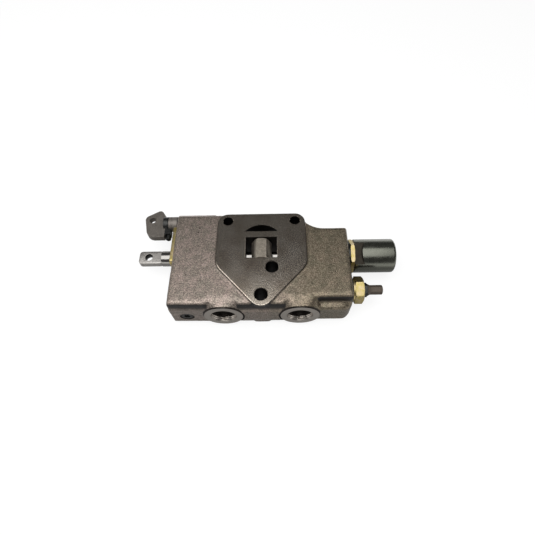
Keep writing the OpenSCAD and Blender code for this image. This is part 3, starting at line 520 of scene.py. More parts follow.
def carve(obj, tools, operation="DIFFERENCE"):
    """Cuts or joins obj with tools, which keep their own materials on the faces that they leave."""
    group = bpy.data.collections.new("tools")
    bpy.context.scene.collection.children.link(group)
    for tool in tools:
        group.objects.link(tool)
    cut = obj.modifiers.new("carve", "BOOLEAN")
    cut.operation, cut.solver = operation, "MANIFOLD"
    cut.operand_type, cut.collection = "COLLECTION", group
    cut.material_mode = "TRANSFER"
    baked(obj)
    bpy.data.collections.remove(group)
    for tool in tools:
        mesh = tool.data
        bpy.data.objects.remove(tool)
        bpy.data.meshes.remove(mesh)
    return obj


def rounded(obj, width, segments=2):
    """Breaks the sharp edges of obj and evens its shading."""
    edge = obj.modifiers.new("edges", "BEVEL")
    edge.width, edge.segments = width, segments
    edge.limit_method, edge.angle_limit = "ANGLE", math.radians(28)
    edge.use_clamp_overlap, edge.miter_outer = True, "MITER_ARC"
    even = obj.modifiers.new("shading", "WEIGHTED_NORMAL")
    even.keep_sharp = True
    obj.data.shade_smooth()
    return baked(obj)


def cad_copy(name, node):
    """Merged copy of a CAD node in millimetres, with its flat faces made whole."""
    work = bmesh.new()
    work.from_mesh(frame["nodes"][node].data)
    bmesh.ops.scale(work, vec=(1 / MM,) * 3, verts=work.verts)
    bmesh.ops.remove_doubles(work, verts=work.verts, dist=0.002)
    bmesh.ops.dissolve_limit(work, angle_limit=math.radians(1.5), verts=work.verts, edges=work.edges,
        use_dissolve_boundaries=False)
    mesh = bpy.data.meshes.new(name)
    for face in work.faces:
        face.material_index = 0
    work.to_mesh(mesh)
    work.free()
    obj = bpy.data.objects.new(name, mesh)
    bpy.context.scene.collection.objects.link(obj)
    return obj


def place(obj, slot, *nodes, material=None, sharp=32, ride=True):
    """Scales a finished piece to metres and puts it in the frame in place of its CAD nodes."""
    obj.data.transform(Matrix.Scale(MM, 4))
    if material:
        coated(obj, material)
    if not obj.data.has_custom_normals:
        obj.data.shade_smooth()
        obj.data.set_sharp_from_angle(angle=math.radians(sharp))
    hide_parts(*nodes)
    if ride:
        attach(obj, frame["nodes"][nodes[0]]["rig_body"])


def finish_nodes(slot, material, *nodes):
    """Gives their finish to CAD nodes that are shown as they are."""
    for node in nodes:
        obj = frame["nodes"][node]
        coated(obj, material)


def threaded(name, axis, centre, start, end, core, depth, pitch, materials=(), steps=96):
    """Solid rod with a screw thread, whose roots lie at core and crests at core plus depth."""
    rows = max(2, round((end - start) / pitch * 8))
    points = []
    for row in range(rows + 1):
        along = start + (end - start) * row / rows
        for i in range(steps):
            phase = (along / pitch - i / steps) % 1.0
            radius = core + depth * (0.5 - 0.5 * math.cos(math.tau * phase))
            points.append(turn_point(axis, centre, along, radius, math.tau * i / steps))
    faces = quads(steps, rows + 1)
    for row, at in ((0, start), (rows, end)):
        hub = len(points)
        points.append(turn_point(axis, centre, at, 0, 0))
        faces += [(row * steps + i, row * steps + (i + 1) % steps, hub) for i in range(steps)]
    return mesh_object(name, points, faces, materials)


# ---------------------------------------------------------------- housing


def pad_outline():
    """Shield-shaped outline of the stacking pads, anticlockwise from the nose."""
    nose, flank = Vector((0, TIE_FRONT_Y)), Vector(FLANK)
    run = flank - nose
    turn = math.degrees(math.atan2(run.y, run.x) - math.acos((NOSE_R - FLANK_R) / run.length))
    side = arc(nose, NOSE_R, -90, turn, 12) + arc(FLANK, FLANK_R, turn, 0, 10)
    side += arc((TIE_X, -1.5), PAD_CORNER_R, 0, 90, 12)
    return side + [(-x, y) for x, y in reversed(side[1:])]


def part_way(one, other, *shares):
    """Outline between two outlines with equal point counts, with one share for each direction."""
    return [tuple(a + (b - a) * share for a, b, share in zip(p, q, shares)) for p, q in zip(one, other)]


def hood(x, height):
    """Shoulder over a port boss: its round front rises and flattens until it meets the top."""
    layers = []
    # each layer: its place along Y, half width, height above the port's axis and squareness
    for at, wide, tall, power in (
        (-85.5, 17.0, 17.0, 2.0), (-83.4, 17.0, 17.0, 2.0), (-80.8, 16.6, 17.7, 3.0),
        (-77.5, 15.7, 19.0, 4.0), (-73.5, 15.3, 20.0, 5.0), (-68.0, 15.0, 20.0, 5.0),
    ):
        shape = []
        for i in range(64):
            angle = math.tau * i / 64
            across, up = (math.copysign(abs(v) ** (2 / power), v) for v in (math.cos(angle), math.sin(angle)))
            shape.append((x + across * wide, max(CAST_LOW, min(height, PORT_Z + up * tall))))
        layers.append((shape, at))
    return loft("hood", layers, "Y")


def casting_blank():
    """The casting before machining, as overlapping solids in one mesh."""
    left, right = BODY_LOW.x - 0.8, BODY_HIGH.x + 0.25
    rear_y, step_y, root_y = 8.7, -7.0, -60.0
    sweep, sweep_r = (56.0, 15.0), 22.0
    # roll is where the top edge starts to round over, and the pads are cast up to proud and then ground
    wall_y, ledge_z, roll, proud, corner = -75.6, 28.5, 1.1, 44.0, 8.0
    # plan corners, and how far the top edge rolls in from each of them
    plan = [
        (left, -80.8, 2.3, 3.0), (-46.0, -81.4, -2.0, 3.6), (-40.0, -77.0, -2.5, 4.0),
        (-25.0, -77.0, 2.5, 4.0), (-18.0, -81.4, 2.0, 3.2), (18.0, -81.2, -2.0, 3.2),
        (25.0, -76.5, -2.5, 4.0), (42.0, wall_y, 2.0, 4.2), (right, wall_y, -2.3, 4.2),
        (right, step_y, -2.3, -1.6),
    ]
    full = [(x, y) for x, y, _, _ in plan] + arc(sweep, sweep_r, 270, 196.6, 14) + [(left, rear_y)]
    inset = [(x + dx, y + dy) for x, y, dx, dy in plan] + arc(sweep, sweep_r + 1.6, 270, 196.6, 14)
    inset.append((left + 2.3, rear_y - 1.6))
    parts = [
        loft("block", [
            (full, CAST_LOW), (full, CAST_HIGH - 2.6), (part_way(full, inset, 0.35, 0.15), CAST_HIGH - roll),
            (part_way(full, inset, 0.65, 0.5), CAST_HIGH - 0.4), (inset, CAST_HIGH),
        ]),
        prism("front_left", [
            (root_y, CAST_LOW), (FRONT_Y, CAST_LOW), (FRONT_Y - 0.8, PARTING_Z), (root_y, PARTING_Z),
        ], left, -PORT_X, "X"),
        prism("front_middle", [
            (root_y, CAST_LOW), (FRONT_Y + 0.3, CAST_LOW), (-83.0, 9.8), (-83.0, 27.2), (-82.0, 27.6),
            (-81.2, CAST_HIGH - roll), (root_y, CAST_HIGH - roll),
        ], -18.5, 19.0, "X"),
        prism("front_low", [
            (root_y, CAST_LOW), (FRONT_Y + 0.3, CAST_LOW), (-83.0, 9.8), (-83.0, 27.2), (root_y, 27.2),
        ], -PORT_X, PORT_X, "X"),
    ]
    # lower right front, whose upper edge rolls back onto a ledge
    lower = []
    for front, side, at in (
        (0.7, 0, CAST_LOW), (-0.6, 0, ledge_z - 5), (-0.8, 0.6, ledge_z - 3.4), (-0.7, 2.2, ledge_z - 1.6),
        (-0.1, 4.4, ledge_z - 0.7), (2.5, 5.4, ledge_z), (6.0, 6.0, ledge_z + 0.9),
    ):
        edge = FRONT_Y + front
        shape = [(PORT_X, root_y), (PORT_X, edge)]
        shape += arc((right - side - corner, edge + corner), corner, -90, 0, 10) + [(right - side, root_y)]
        lower.append((shape, at))
    parts.append(loft("front_right", lower))
    for s in (-1, 1):
        parts.append(rod("boss", "Y", (s * PORT_X, PORT_Z), PORT_FACE_Y - 2, FRONT_Y + 14, BOSS_R, 96))
        parts.append(hood(s * PORT_X, CAST_HIGH))
    parts.append(rod("tie_boss", "Z", (0, TIE_FRONT_Y), CAST_LOW, CAST_HIGH, NOSE_R - 1.2))
    parts.append(prism("upper_pad", pad_outline(), CAST_HIGH - 2, proud))
    lower_pad = [(x, max(y, FRONT_Y)) for x, y in pad_outline()]
    parts.append(prism("lower_pad", lower_pad, BODY_HIGH.z - proud, CAST_LOW + 2))
    parts.append(lathe("rib", [
        (left, 0), (left, 8.2), (RIB_END_X, 8.2), (RIB_END_X + 3, 5.2), (RIB_END_X + 3, 0),
    ], "X", FLOW_AXIS, 64))
    blank = parts[0]
    with bpy.context.temp_override(active_object=blank, selected_editable_objects=parts):
        bpy.ops.object.join()
    blank.name = "valve_body_casting"
    return blank


def soften(obj, look):
    """Turns the joined blank into one skin with cast fillets and a slightly uneven surface."""
    skin = obj.modifiers.new("skin", "REMESH")
    skin.mode, skin.voxel_size = "VOXEL", look.skin_cell / MM
    baked(obj)
    count = len(obj.data.vertices)
    co = np.empty(count * 3)
    obj.data.vertices.foreach_get("co", co)
    co = co.reshape(-1, 3)
    # the front shoulders have softer fillets, which fade in over a few millimetres
    start_y, fade_y, start_z, fade_z, levels = -71, 5, 22, 6, 10
    front = np.clip((start_y - co[:, 1]) / fade_y, 0, 1) * np.clip((co[:, 2] - start_z) / fade_z, 0, 1)
    group = obj.vertex_groups.new(name="front")
    for level in range(1, levels + 1):
        chosen = np.nonzero(np.round(front * levels) == level)[0]
        group.add([int(i) for i in chosen], level / levels, "REPLACE")
    for rounds, name in ((look.fillet_rounds, ""), (look.front_rounds, "front")):
        smooth = obj.modifiers.new("fillets", "SMOOTH")
        smooth.factor, smooth.iterations, smooth.vertex_group = 0.5, rounds, name
    clouds = bpy.data.textures.new("cast_waviness", "CLOUDS")
    clouds.noise_scale, clouds.noise_depth = 4.0, 3
    wave = obj.modifiers.new("waviness", "DISPLACE")
    wave.texture, wave.strength, wave.mid_level = clouds, 0.22, 0.5
    baked(obj)
    obj.vertex_groups.clear()


def bore(profile, axis, centre, finish, steps=64):
    return lathe("bore", profile, axis, centre, steps, [finish])


def hole_down(centre, radius, finish):
    """Hole through both stacking faces, with broken edges."""
    top, chamfer = BODY_HIGH.z, 0.4
    return bore([
        (-3, 0), (-3, radius + chamfer), (0, radius + chamfer), (chamfer, radius),
        (top - chamfer, radius), (top, radius + chamfer), (top + 6, radius + chamfer), (top + 6, 0),
    ], "Z", centre, finish, 48)


def slab(low, high, finish):
    (x0, y0, z0), (x1, y1, z1) = low, high
    return prism("slab", [(x0, y0), (x1, y0), (x1, y1), (x0, y1)], z0, z1, materials=[finish])


def pad_openings(bored):
    """Window and crescent that pass through both stacking faces."""
    top, corner = BODY_HIGH.z, 0.8
    half, near, far = WINDOW_HALF, WINDOW_NEAR, WINDOW_FAR
    window = []
    for x, y, start in ((half, near, -90), (half, far, 0), (-half, far, 90), (-half, near, 180)):
        centre = (x - math.copysign(corner, x), y + (corner if y == near else -corner))
        window += arc(centre, corner, start, start + 90, 4)
    lift = math.degrees(math.asin((TANK_EDGE_Y - TANK_Y) / TANK_R))
    crescent = arc((0, TANK_Y), TANK_R, lift, 180 - lift, 32)
    return [
        prism("window", window, 0, top, materials=[bored], chamfer=0.35),
        prism("crescent", crescent, 0, top, materials=[bored], chamfer=0.5),
    ]


def housing_cuts(ground, spot, thread, bored):
    """Every face and cavity that is machined into the casting."""
    top, left, right, face = BODY_HIGH.z, BODY_LOW.x, BODY_HIGH.x, PORT_FACE_Y
    out = 200  # reaches past the casting on every side

    def along(axis, centre, start, end, radius, steps=64):
        return rod("bore", axis, centre, start, end, radius, steps, [bored])

    cuts = [
        # stacking faces, port face and lever end
        slab((-out, -out, top), (out, out, top + 20), ground),
        slab((-out, -out, -20), (out, out, 0), ground),
        slab((-out, -out, -25), (out, face, top + 25), spot),
        slab((-out, -50.5, -24), (left, out, top + 24), ground),
        # tie rod holes, sense hole, edge of the pad and its openings
        hole_down((TIE_X, 0), TIE_R, bored),
        hole_down((-TIE_X, 0), TIE_R, bored),
        hole_down((0, TIE_FRONT_Y), TIE_FRONT_R, bored),
        hole_down(SENSE, SENSE_R, bored),
        rim("pad_edge", pad_outline(), 0.6, top - 0.22, top, 1.2, [ground]),
        *pad_openings(bored),
        # spool bore with the seats of its seals and cap, the rings faced at the cap end, the drain
        # groove behind the rod seal and the channel between the tank rings
        along("X", SPOOL_AXIS, left - 5, right + 5, SPOOL_BORE_R),
        along("X", SPOOL_AXIS, left - 5.1, -71.9, 10.05),
        bore([
            (69, 0), (69, CAP_NECK_R), (right - 1.75, CAP_NECK_R), (right, 14.2), (right + 5.1, 14.2),
            (right + 5.1, 0),
        ], "X", SPOOL_AXIS, bored, 96),
        along("X", SPOOL_AXIS, right, right + 5.2, 17.2),
        along("X", RELIEF_AXIS, right, right + 5.3, 12.6),
        along("X", SPOOL_AXIS, -66.4, -62.4, 8.9),
        along("X", (-12.2, 19), -50.01, 50.01, 3.2),
    ]
    # for each port: the work ring and tank ring round the spool, its countersink, its thread, painted
    # lighter at the mouth as a painted highlight and painted dark further in as painted shade, its drilling
    # and the rim of its face, painted dark as a painted shadow line
    for s in (-1, 1):
        port = (s * PORT_X, PORT_Z)
        ring, tank = s * PORT_X, s * TANK_RING_X
        tapped = (PORT_CORE_R, THREAD_DEPTH, PORT_PITCH)
        cuts += [
            along("X", SPOOL_AXIS, ring - WORK_RING_HALF, ring + WORK_RING_HALF, WORK_RING_R),
            along("X", SPOOL_AXIS, tank - TANK_RING_HALF, tank + TANK_RING_HALF, TANK_RING_R),
            bore([(face - 2, 0), (face - 2, 12.2), (face + 1.6, 10.15), (face + 1.6, 0)], "Y", port, spot, 96),
            threaded("thread", "Y", port, face + 0.9, face + 3.9, *tapped, [thread]),
            threaded("thread", "Y", port, face + 3.8, face + 16, *tapped, [bored]),
            along("Y", port, face + 10, -33.3, 6.0, 48),
            lathe("rim", [
                (face - 1, 15.4), (face + 1.1, 17.5), (face + 1.1, 18), (face - 1, 18),
            ], "Y", port, 96, [bored], ring=True),
        ]
    cuts += [
        # pressure gallery with the seat of its plug
        along("Y", PLUG_AXIS, -90, -32.3, 2.2, 32),
        along("Y", PLUG_AXIS, -90.1, -72.4, 4.95, 48),
        bore([(-90.2, 0), (-90.2, 6.4), (-81.4, 6.4), (-80.5, 5.6), (-80.5, 0)], "Y", PLUG_AXIS, bored),
        # flow control
        along("X", FLOW_AXIS, left - 5.2, -64.8, 6.0),
        along("X", FLOW_AXIS, -65, -42.2, FLOW_BORE_R),
        # relief cartridge, with its ways in and out
        along("X", RELIEF_AXIS, 45.5, right + 5.4, RELIEF_BORE_R),
        along("X", RELIEF_AXIS, PORT_X, 46, 3.5),
        along("X", RELIEF_AXIS, RELIEF_CROSS_X - 2.5, RELIEF_CROSS_X + 2.5, 9.95),
        along("Y", (51, 19), RELIEF_AXIS[0], -33.3, 2.2, 32),
        # check valve
        along("Y", CHECK_AXIS, -47.9, -37.6, 4.05, 48),
    ]
    cuts += [along("X", screw, left - 5.5, left + 13, 2.55, 32) for screw in PLATE_SCREWS]
    # the cast pits take the bored finish too: painted shade inside them
    for x, y, radius in CAST_PITS:
        cuts.append(bore([
            (CAST_HIGH - 0.7, 0), (CAST_HIGH - 0.6, radius * 0.6), (CAST_HIGH + 0.3, radius),
            (CAST_HIGH + 1, radius), (CAST_HIGH + 1, 0),
        ], "Z", (x, y), bored, 12))
    return cuts


def crisp(casting, ground):
    """Keeps the ground faces flat in the shading, right up to their chamfers."""
    slot = [s.name for s in casting.data.materials].index(ground.name)
    work = bmesh.new()
    work.from_mesh(casting.data)
    for edge in work.edges:
        if len(edge.link_faces) == 2 and any(f.material_index == slot for f in edge.link_faces):
            if edge.calc_face_angle() > math.radians(6):
                edge.smooth = False
    work.to_mesh(casting.data)
    work.free()


def brighten_edges(casting, ground, bored):
    """Gives the chamfers of the openings in the pads the finish of the pads."""
    slots = [slot.name for slot in casting.data.materials]
    dark, light = slots.index(bored.name), slots.index(ground.name)
    for face in casting.data.polygons:
        if face.material_index == dark and 0.3 < face.normal.z < 0.95 and face.center.z > BODY_HIGH.z - 0.6:
            face.material_index = light


class HousingLook(bpy.types.PropertyGroup):
    skin_cell: length_property("Skin cell", "Cell of the casting's mesh", 0.85)
    fillet_rounds: IntProperty(
        name="Fillet rounds", description="Smoothing of the cast fillets", default=7, min=1
    )
    front_rounds: IntProperty(
        name="Front rounds", description="Extra smoothing of the front shoulders", default=10, min=1
    )
    skin: colour_property("Cast skin", "Colour of the shot-blasted skin", "#938a85")
    ground: colour_property("Ground faces", "Colour of the ground faces", "#a0998f")
    spot: colour_property("Spot faces", "Colour of the faces and threads of the ports", "#a19a92")
    bored: colour_property("Bores", "Colour of the bored holes", "#302c29")


class VALVE_OT_housing(bpy.types.Operator):
    """Builds the casting with its machined faces and cavities"""

    bl_idname = "valve.housing"
    bl_label = "Housing"

    def execute(self, context):
        look = context.scene.valve_housing
        skin, ground = cast_iron_skin(look), ground_iron(look)
        # spot facing leaves fine rings with a soft shine
        spot = turned_metal("grey_iron_spot_faced", look.spot, 0.32, "Y", 0.6, 0.01, 0.08)
        # the first turns of the tapped thread are painted lighter than the spot face: a painted highlight where
        # they catch the light
        thread = turned_metal("grey_iron_tapped", shade(look.spot, 1.5), 0.25, "Y", 0.6, 0.005, 0.05)
        # bores, pits and openings are painted near black as painted shade inside them, and stay dull
        bored = turned_metal("grey_iron_bored", look.bored, 0.45, "Y", 0.5, 0.03, 0.1)
        casting = casting_blank()
        soften(casting, look)
        carve(coated(casting, skin), housing_cuts(ground, spot, thread, bored))
        brighten_edges(casting, ground, bored)
        place(casting, "housing_iron", "valve_body", sharp=34)
        crisp(casting, ground)
        return {"FINISHED"}


# ---------------------------------------------------------------- turned and milled pieces


class MetalLook(bpy.types.PropertyGroup):
    chrome: colour_property("Spool chrome", "Colour of the ground and chromed spool", "#918e8a")
    tang: colour_property("Spool tang", "Colour of the milled spool tang", "#bcb8b3")
    zinc: colour_property("Yellow zinc", "Main colour of the yellow zinc plating", "#b2a262")
    zinc_tint: colour_property("Zinc tint", "Second colour that the plating drifts to", "#c2b08c")
    oxide: colour_property("Cap black oxide", "Colour of the black oxide on the spring cap", "#62635b")
    milled: colour_property("Cap flats", "Colour of the milled wrench flats on the cap", "#3d3933")
    screw: colour_property("Screw black oxide", "Colour of the black screws", "#3c3c3b")
    phosphate: colour_property("Lever phosphate", "Colour of the phosphated lever", "#87817a")
    gland: colour_property("Gland steel", "Colour of the turned gland", "#7d7771")
    adjuster: colour_property("Adjuster steel", "Colour of the relief adjuster", "#5f564d")
    check: colour_property("Check valve steel", "Colour of the milled check valve body", "#a89f92")
    bright: colour_property("Turned steel", "Colour of plain turned and drawn steel", "#b4b2ae")
    rubber: colour_property("Rubber", "Colour of the nitrile seals", "#1b1b1b")
    edge: length_property("Broken edge", "Width of the broken edges of turned parts", 0.35)


def shared(name, make, *values):
    """Material of that name, made the first time it is asked for."""
    return bpy.data.materials.get(name) or make(name, *values)


def screw_steel(look):
    """Black oxide on alloy steel: near black, even, with a low satin shine."""
    return shared("alloy_steel_black_oxide", plated_steel, look.screw, shade(look.screw, 1.3), 0.38, 2.0, 0.4)


def yellow_zinc(look):
    """Yellow chromate on zinc: pale gold that drifts to a warmer beige over a few millimetres."""
    return shared("steel_yellow_zinc_plated", plated_steel, look.zinc, look.zinc_tint, 0.36, 4.0, 0.6)


def bright_steel(look):
    """Plain turned steel: clean and bright, with fine feed marks."""
    return shared("steel_turned_bright", turned_metal, look.bright, 0.28)


def rubber(look):
    """Black nitrile for every seal."""
    return shared("nitrile_rubber_moulded", nitrile_rubber, look.rubber)


def turned(name, profile, axis, centre, edge, steps=96):
    """Turned piece with broken edges. The axis is left out of the profile."""
    path = [(profile[0][0], 0.0), *profile, (profile[-1][0], 0.0)]
    return lathe(name, eased(path, edge), axis, centre, steps)


def drilled(obj, *holes):
    """Bores obj with (axis, centre, from, to, radius) holes."""
    return carve(obj, [rod("hole", *hole, 48) for hole in holes])


def hex_bar(name, low, high, across_flats, centre, turn, axis="X", ends=(0.8, 0.8), edge=0.25):
    """Hexagon bar with chamfered ends and broken corners."""
    bar = prism(name, eased(hexagon(across_flats, centre, turn), edge, closed=True), low, high, axis)
    radius = across_flats / 2 / math.cos(math.radians(30))
    limit = turned("limit", [
        (low, radius - ends[0]), (low + ends[0] * 0.6, radius + 0.05),
        (high - ends[1] * 0.6, radius + 0.05), (high, radius - ends[1]),
    ], axis, centre, 0.15)
    return carve(bar, [limit], "INTERSECT")


def socket(axis, centre, low, high, across_flats):
    """Cutter for a hexagon socket."""
    return prism("socket", hexagon(across_flats, centre, 0), low, high, axis)


class VALVE_OT_spool(bpy.types.Operator):
    """Turns the spool with its lands, necks and flat tang, and its end screw"""

    bl_idname = "valve.spool"
    bl_label = "Spool"

    def execute(self, context):
        look = context.scene.valve_metals
        edge = look.edge / MM
        axis, dark = SPOOL_AXIS, screw_steel(look)
        low, high = box_mm("spool")
        tang_end, tang_root, end = low.x, low.x + TANG_LENGTH, high.x
        land, neck, shank, stop = 7.1, 5.0, 4.5, 62.2
        half_neck, groove = 7.25, 52.5
        inner, outer = PORT_X - half_neck, PORT_X + half_neck
        spool = turned("spool_turned", [
            (tang_root, land), (-groove, land), (-groove, neck), (-outer, neck), (-outer, land), (-inner, land),
            (-inner, neck), (inner, neck), (inner, land), (outer, land), (outer, neck), (groove, neck),
            (groove, land), (stop, land), (stop, shank), (end, shank),
        ], "X", axis, edge, 128)
        half, half_thick, corner, round_r, eye = 6.33, 3, 2.6, 7.0, 3.25
        outline = [
            (tang_end, axis[0] - half), (tang_root + 1, axis[0] - half),
            (tang_root + 1, axis[0] + half), (tang_end, axis[0] + half),
        ]
        outline = eased(eased(outline, corner, True), 0.8, True)
        tang = plate("tang", outline, axis[1] - half_thick, axis[1] + half_thick, edge=0.3)
        carve(tang, [rod("round", "X", axis, tang_end - 1, tang_root + 2, round_r, 96)], "INTERSECT")
        # hard chrome, ground: a clear mirror with hairline rings round the spool
        chrome = turned_metal("steel_ground_chromed", look.chrome, 0.14, "X", 0.25, 0.004, 0.03)
        # milled flats: paler and duller than the chrome
        satin = plated_steel("steel_milled_satin", look.tang, shade(look.tang, 0.85), 0.42, 6.0, 0.7)
        for obj, finish in ((spool, chrome), (tang, satin)):
            coated(obj, finish)
            for face in obj.data.polygons:
                face.material_index = 0
        carve(spool, [tang], "UNION")
        # the wall of the eye through the tang takes the black oxide finish as painted shade inside the hole;
        # the tapped hole for the end screw takes it too
        carve(spool, [
            lathe("eye", [
                (11, 0), (11, 5), (15.6, 3.65), (16.4, eye), (21.6, eye), (22.4, 3.65), (27, 5), (27, 0),
            ], "Z", (tang_end + 8.9, axis[0]), 48, [dark]),
            rod("tapped", "X", axis, 85, end + 1, 3.05, 48, [dark]),
        ])
        place(spool, "spool_steel", "spool")
        low, high = box_mm("spool_end_screw")
        head, head_r = high.x - 4, 4.98
        screw = turned("spool_end_screw_head", [
            (low.x, 3), (head, 3), (head, head_r), (high.x, head_r),
        ], "X", axis, edge)
        carve(screw, [socket("X", axis, high.x - 2.4, high.x + 1, 4.98)])
        place(screw, "screw_steel", "spool_end_screw", material=dark)
        return {"FINISHED"}


def geometry_tree(name, output, **inputs):
    """New geometry tree and its inputs, which are given as name=kind with underscores for spaces."""
    tree = bpy.data.node_groups.new(name, "GeometryNodeTree")
    for key, kind in inputs.items():
        tree.interface.new_socket(key.replace("_", " "), in_out="INPUT", socket_type="NodeSocket" + kind)
    tree.interface.new_socket(output, in_out="OUTPUT", socket_type="NodeSocketGeometry")
    return tree, add(tree, "NodeGroupInput").outputs


def repeat_tree():
    """Puts a copy of one piece on each point of the host mesh, each turned a little further about X."""
    tree, given = geometry_tree(
        "repeat_on_points", "Pieces", Places="Geometry", Piece="Object", Turn="Float", Finish="Material"
    )
    piece = add(tree, "GeometryNodeObjectInfo", links={"Object": given["Piece"]})
    number = add(tree, "GeometryNodeInputIndex")
    angle = add(tree, "ShaderNodeMath", links={0: number, 1: given["Turn"]}, operation="MULTIPLY")
    turn = add(tree, "ShaderNodeCombineXYZ", links={"X": angle})
    copies = add(tree, "GeometryNodeInstanceOnPoints",
        links={"Points": given["Places"], "Instance": piece.outputs["Geometry"], "Rotation": turn})
    real = add(tree, "GeometryNodeRealizeInstances", links={"Geometry": copies})
    done = add(tree, "GeometryNodeSetMaterial", links={"Geometry": real, "Material": given["Finish"]})
    add(tree, "NodeGroupOutput", links={"Pieces": done})
    return tree


def grow(name, tree, points=(), **inputs):
    """Runs a geometry tree with these inputs and keeps its plain mesh, in millimetres."""
    obj = mesh_object(name, points, [])
    nodes = obj.modifiers.new("grow", "NODES")
    nodes.node_group = tree
    for item in tree.interface.items_tree:
        if item.in_out == "INPUT" and item.socket_type != "NodeSocketGeometry":
            nodes[item.identifier] = inputs[item.name.lower().replace(" ", "_")]
    return baked(obj)


class VALVE_OT_end_plate(bpy.types.Operator):
    """Builds the spool retaining plate and its countersunk screws"""

    bl_idname = "valve.end_plate"
    bl_label = "End plate"

    def execute(self, context):
        look = context.scene.valve_metals
        low, high = box_mm("spool_retaining_plate")
        corner, eye, hole = 3, 7.6, 2.6
        outline = []
        for y, z, start in (
            (high.y, low.z, -90), (high.y, high.z, 0), (low.y, high.z, 90), (low.y, low.z, 180),
        ):
            in_y, in_z = (math.copysign(corner, at - mid) for at, mid in zip((y, z), SPOOL_AXIS))
            outline += arc((y - in_y, z - in_z), corner, start, start + 90, 8)
        sheet = plate("end_plate_pressed", outline, low.x, high.x, "X", 0.35)
        cuts = [lathe("eye", [
            (low.x - 1, 0), (low.x - 1, 8.8), (low.x + 0.4, eye), (high.x + 1, eye), (high.x + 1, 0),
        ], "X", SPOOL_AXIS, 96)]
        for centre in PLATE_SCREWS:
            cuts.append(lathe("countersink", [
                (low.x - 0.5, 0), (low.x - 0.5, 5.2), (low.x, 4.7), (low.x + 2.1, hole), (high.x + 1, hole),
                (high.x + 1, 0),
            ], "X", centre, 48))
        carve(sheet, cuts)
        place(sheet, "yellow_zinc", "spool_retaining_plate", material=yellow_zinc(look))

        screw = turned("screw", [(0, 4.45), (0.35, 4.45), (2.1, 2.45), (14, 2.45)], "X", (0, 0), 0.15, 48)
        carve(screw, [socket("X", (0, 0), -1, 1.8, 3)])
        screws = grow("end_plate_screws", repeat_tree(), [(low.x, y, z) for y, z in PLATE_SCREWS],
            piece=screw, turn=math.radians(23), finish=screw_steel(look))
        bpy.data.objects.remove(screw)
        place(screws, "screw_steel", "plate_screws")
        return {"FINISHED"}


class VALVE_OT_cap(bpy.types.Operator):
    """Turns the spring cap with its wrench flats, the lock ring and the spring seats"""

    bl_idname = "valve.cap"
    bl_label = "Spring cap"

    def execute(self, context):
        look = context.scene.valve_metals
        axis, dark = SPOOL_AXIS, screw_steel(look)
        start, end, mouth = CAP_LOW.x, CAP_HIGH.x, BODY_HIGH.x
        shoulder, radius, neck, bore_end, roll = box_mm("cap_lock_ring")[1].x, 15.1, 12.4, 113.0, 2.4
        # black oxide over fine turning: dark olive and smooth, with one clear highlight
        oxide = turned_metal("steel_turned_black_oxide", look.oxide, 0.25, "X", 0.8, 0.0002, 0.03)
        # the milled flats are rougher, and so darker and dull
        milled = plated_steel("steel_milled_black_oxide", look.milled, shade(look.milled, 0.75), 0.5, 3.0, 0.5)
        nose = [
            (end - roll + roll * math.sin(math.radians(a)), radius - roll + roll * math.cos(math.radians(a)))
            for a in range(0, 91, 10)
        ]
        cap = lathe("spring_cap_turned", [
            (start, 0), (start, neck - 0.4), (start + 0.4, neck), (shoulder, neck), (shoulder, radius - 0.6),
            (shoulder + 0.6, radius), *nose, (end, 0),
        ], "X", axis, 160, [oxide])
        carve(cap, [rod("bore", "X", axis, start - 1, bore_end, 10, 96, [oxide])])
        flat, arc_r, deep = radius - 3.6, 22.0, mouth + 13.4 - shoulder
        mill = []
        for turn in (20, 200):
            reach = shoulder + deep
            sweep = arc((reach + arc_r - 1, 0), arc_r, 212, 148, 24)
            outline = [(shoulder - 1, -20), *sweep, (shoulder - 1, 20)]
            tool = prism("flat", outline, flat, 20, materials=[milled])
            tool.data.transform(Matrix.Translation((0, *axis)) @ Matrix.Rotation(math.radians(turn), 4, "X"))
            mill.append(tool)
        carve(cap, mill)
        place(cap, "cap_black_oxide", "spring_cap")
        ring = hex_bar("cap_lock_ring_turned", mouth + 2.5, shoulder, 27.0, axis, 50, ends=(1.0, 1.2))
        # painted shadow: the collar next to the housing takes the black oxide finish so that the gap between
        # ring and housing looks dark
        collar = turned("collar", [(mouth, 12.9), (mouth + 3.0, 12.9)], "X", axis, 0.2)
        carve(coated(ring, yellow_zinc(look)), [coated(collar, dark)], "UNION")
        carve(ring, [rod("bore", "X", axis, mouth - 1, shoulder + 1, CAP_NECK_R, 96, [dark])])
        place(ring, "yellow_zinc", "cap_lock_ring")
        finish_nodes("seat_steel", bright_steel(look), "inner_spring_seat", "outer_spring_seat")
        return {"FINISHED"}


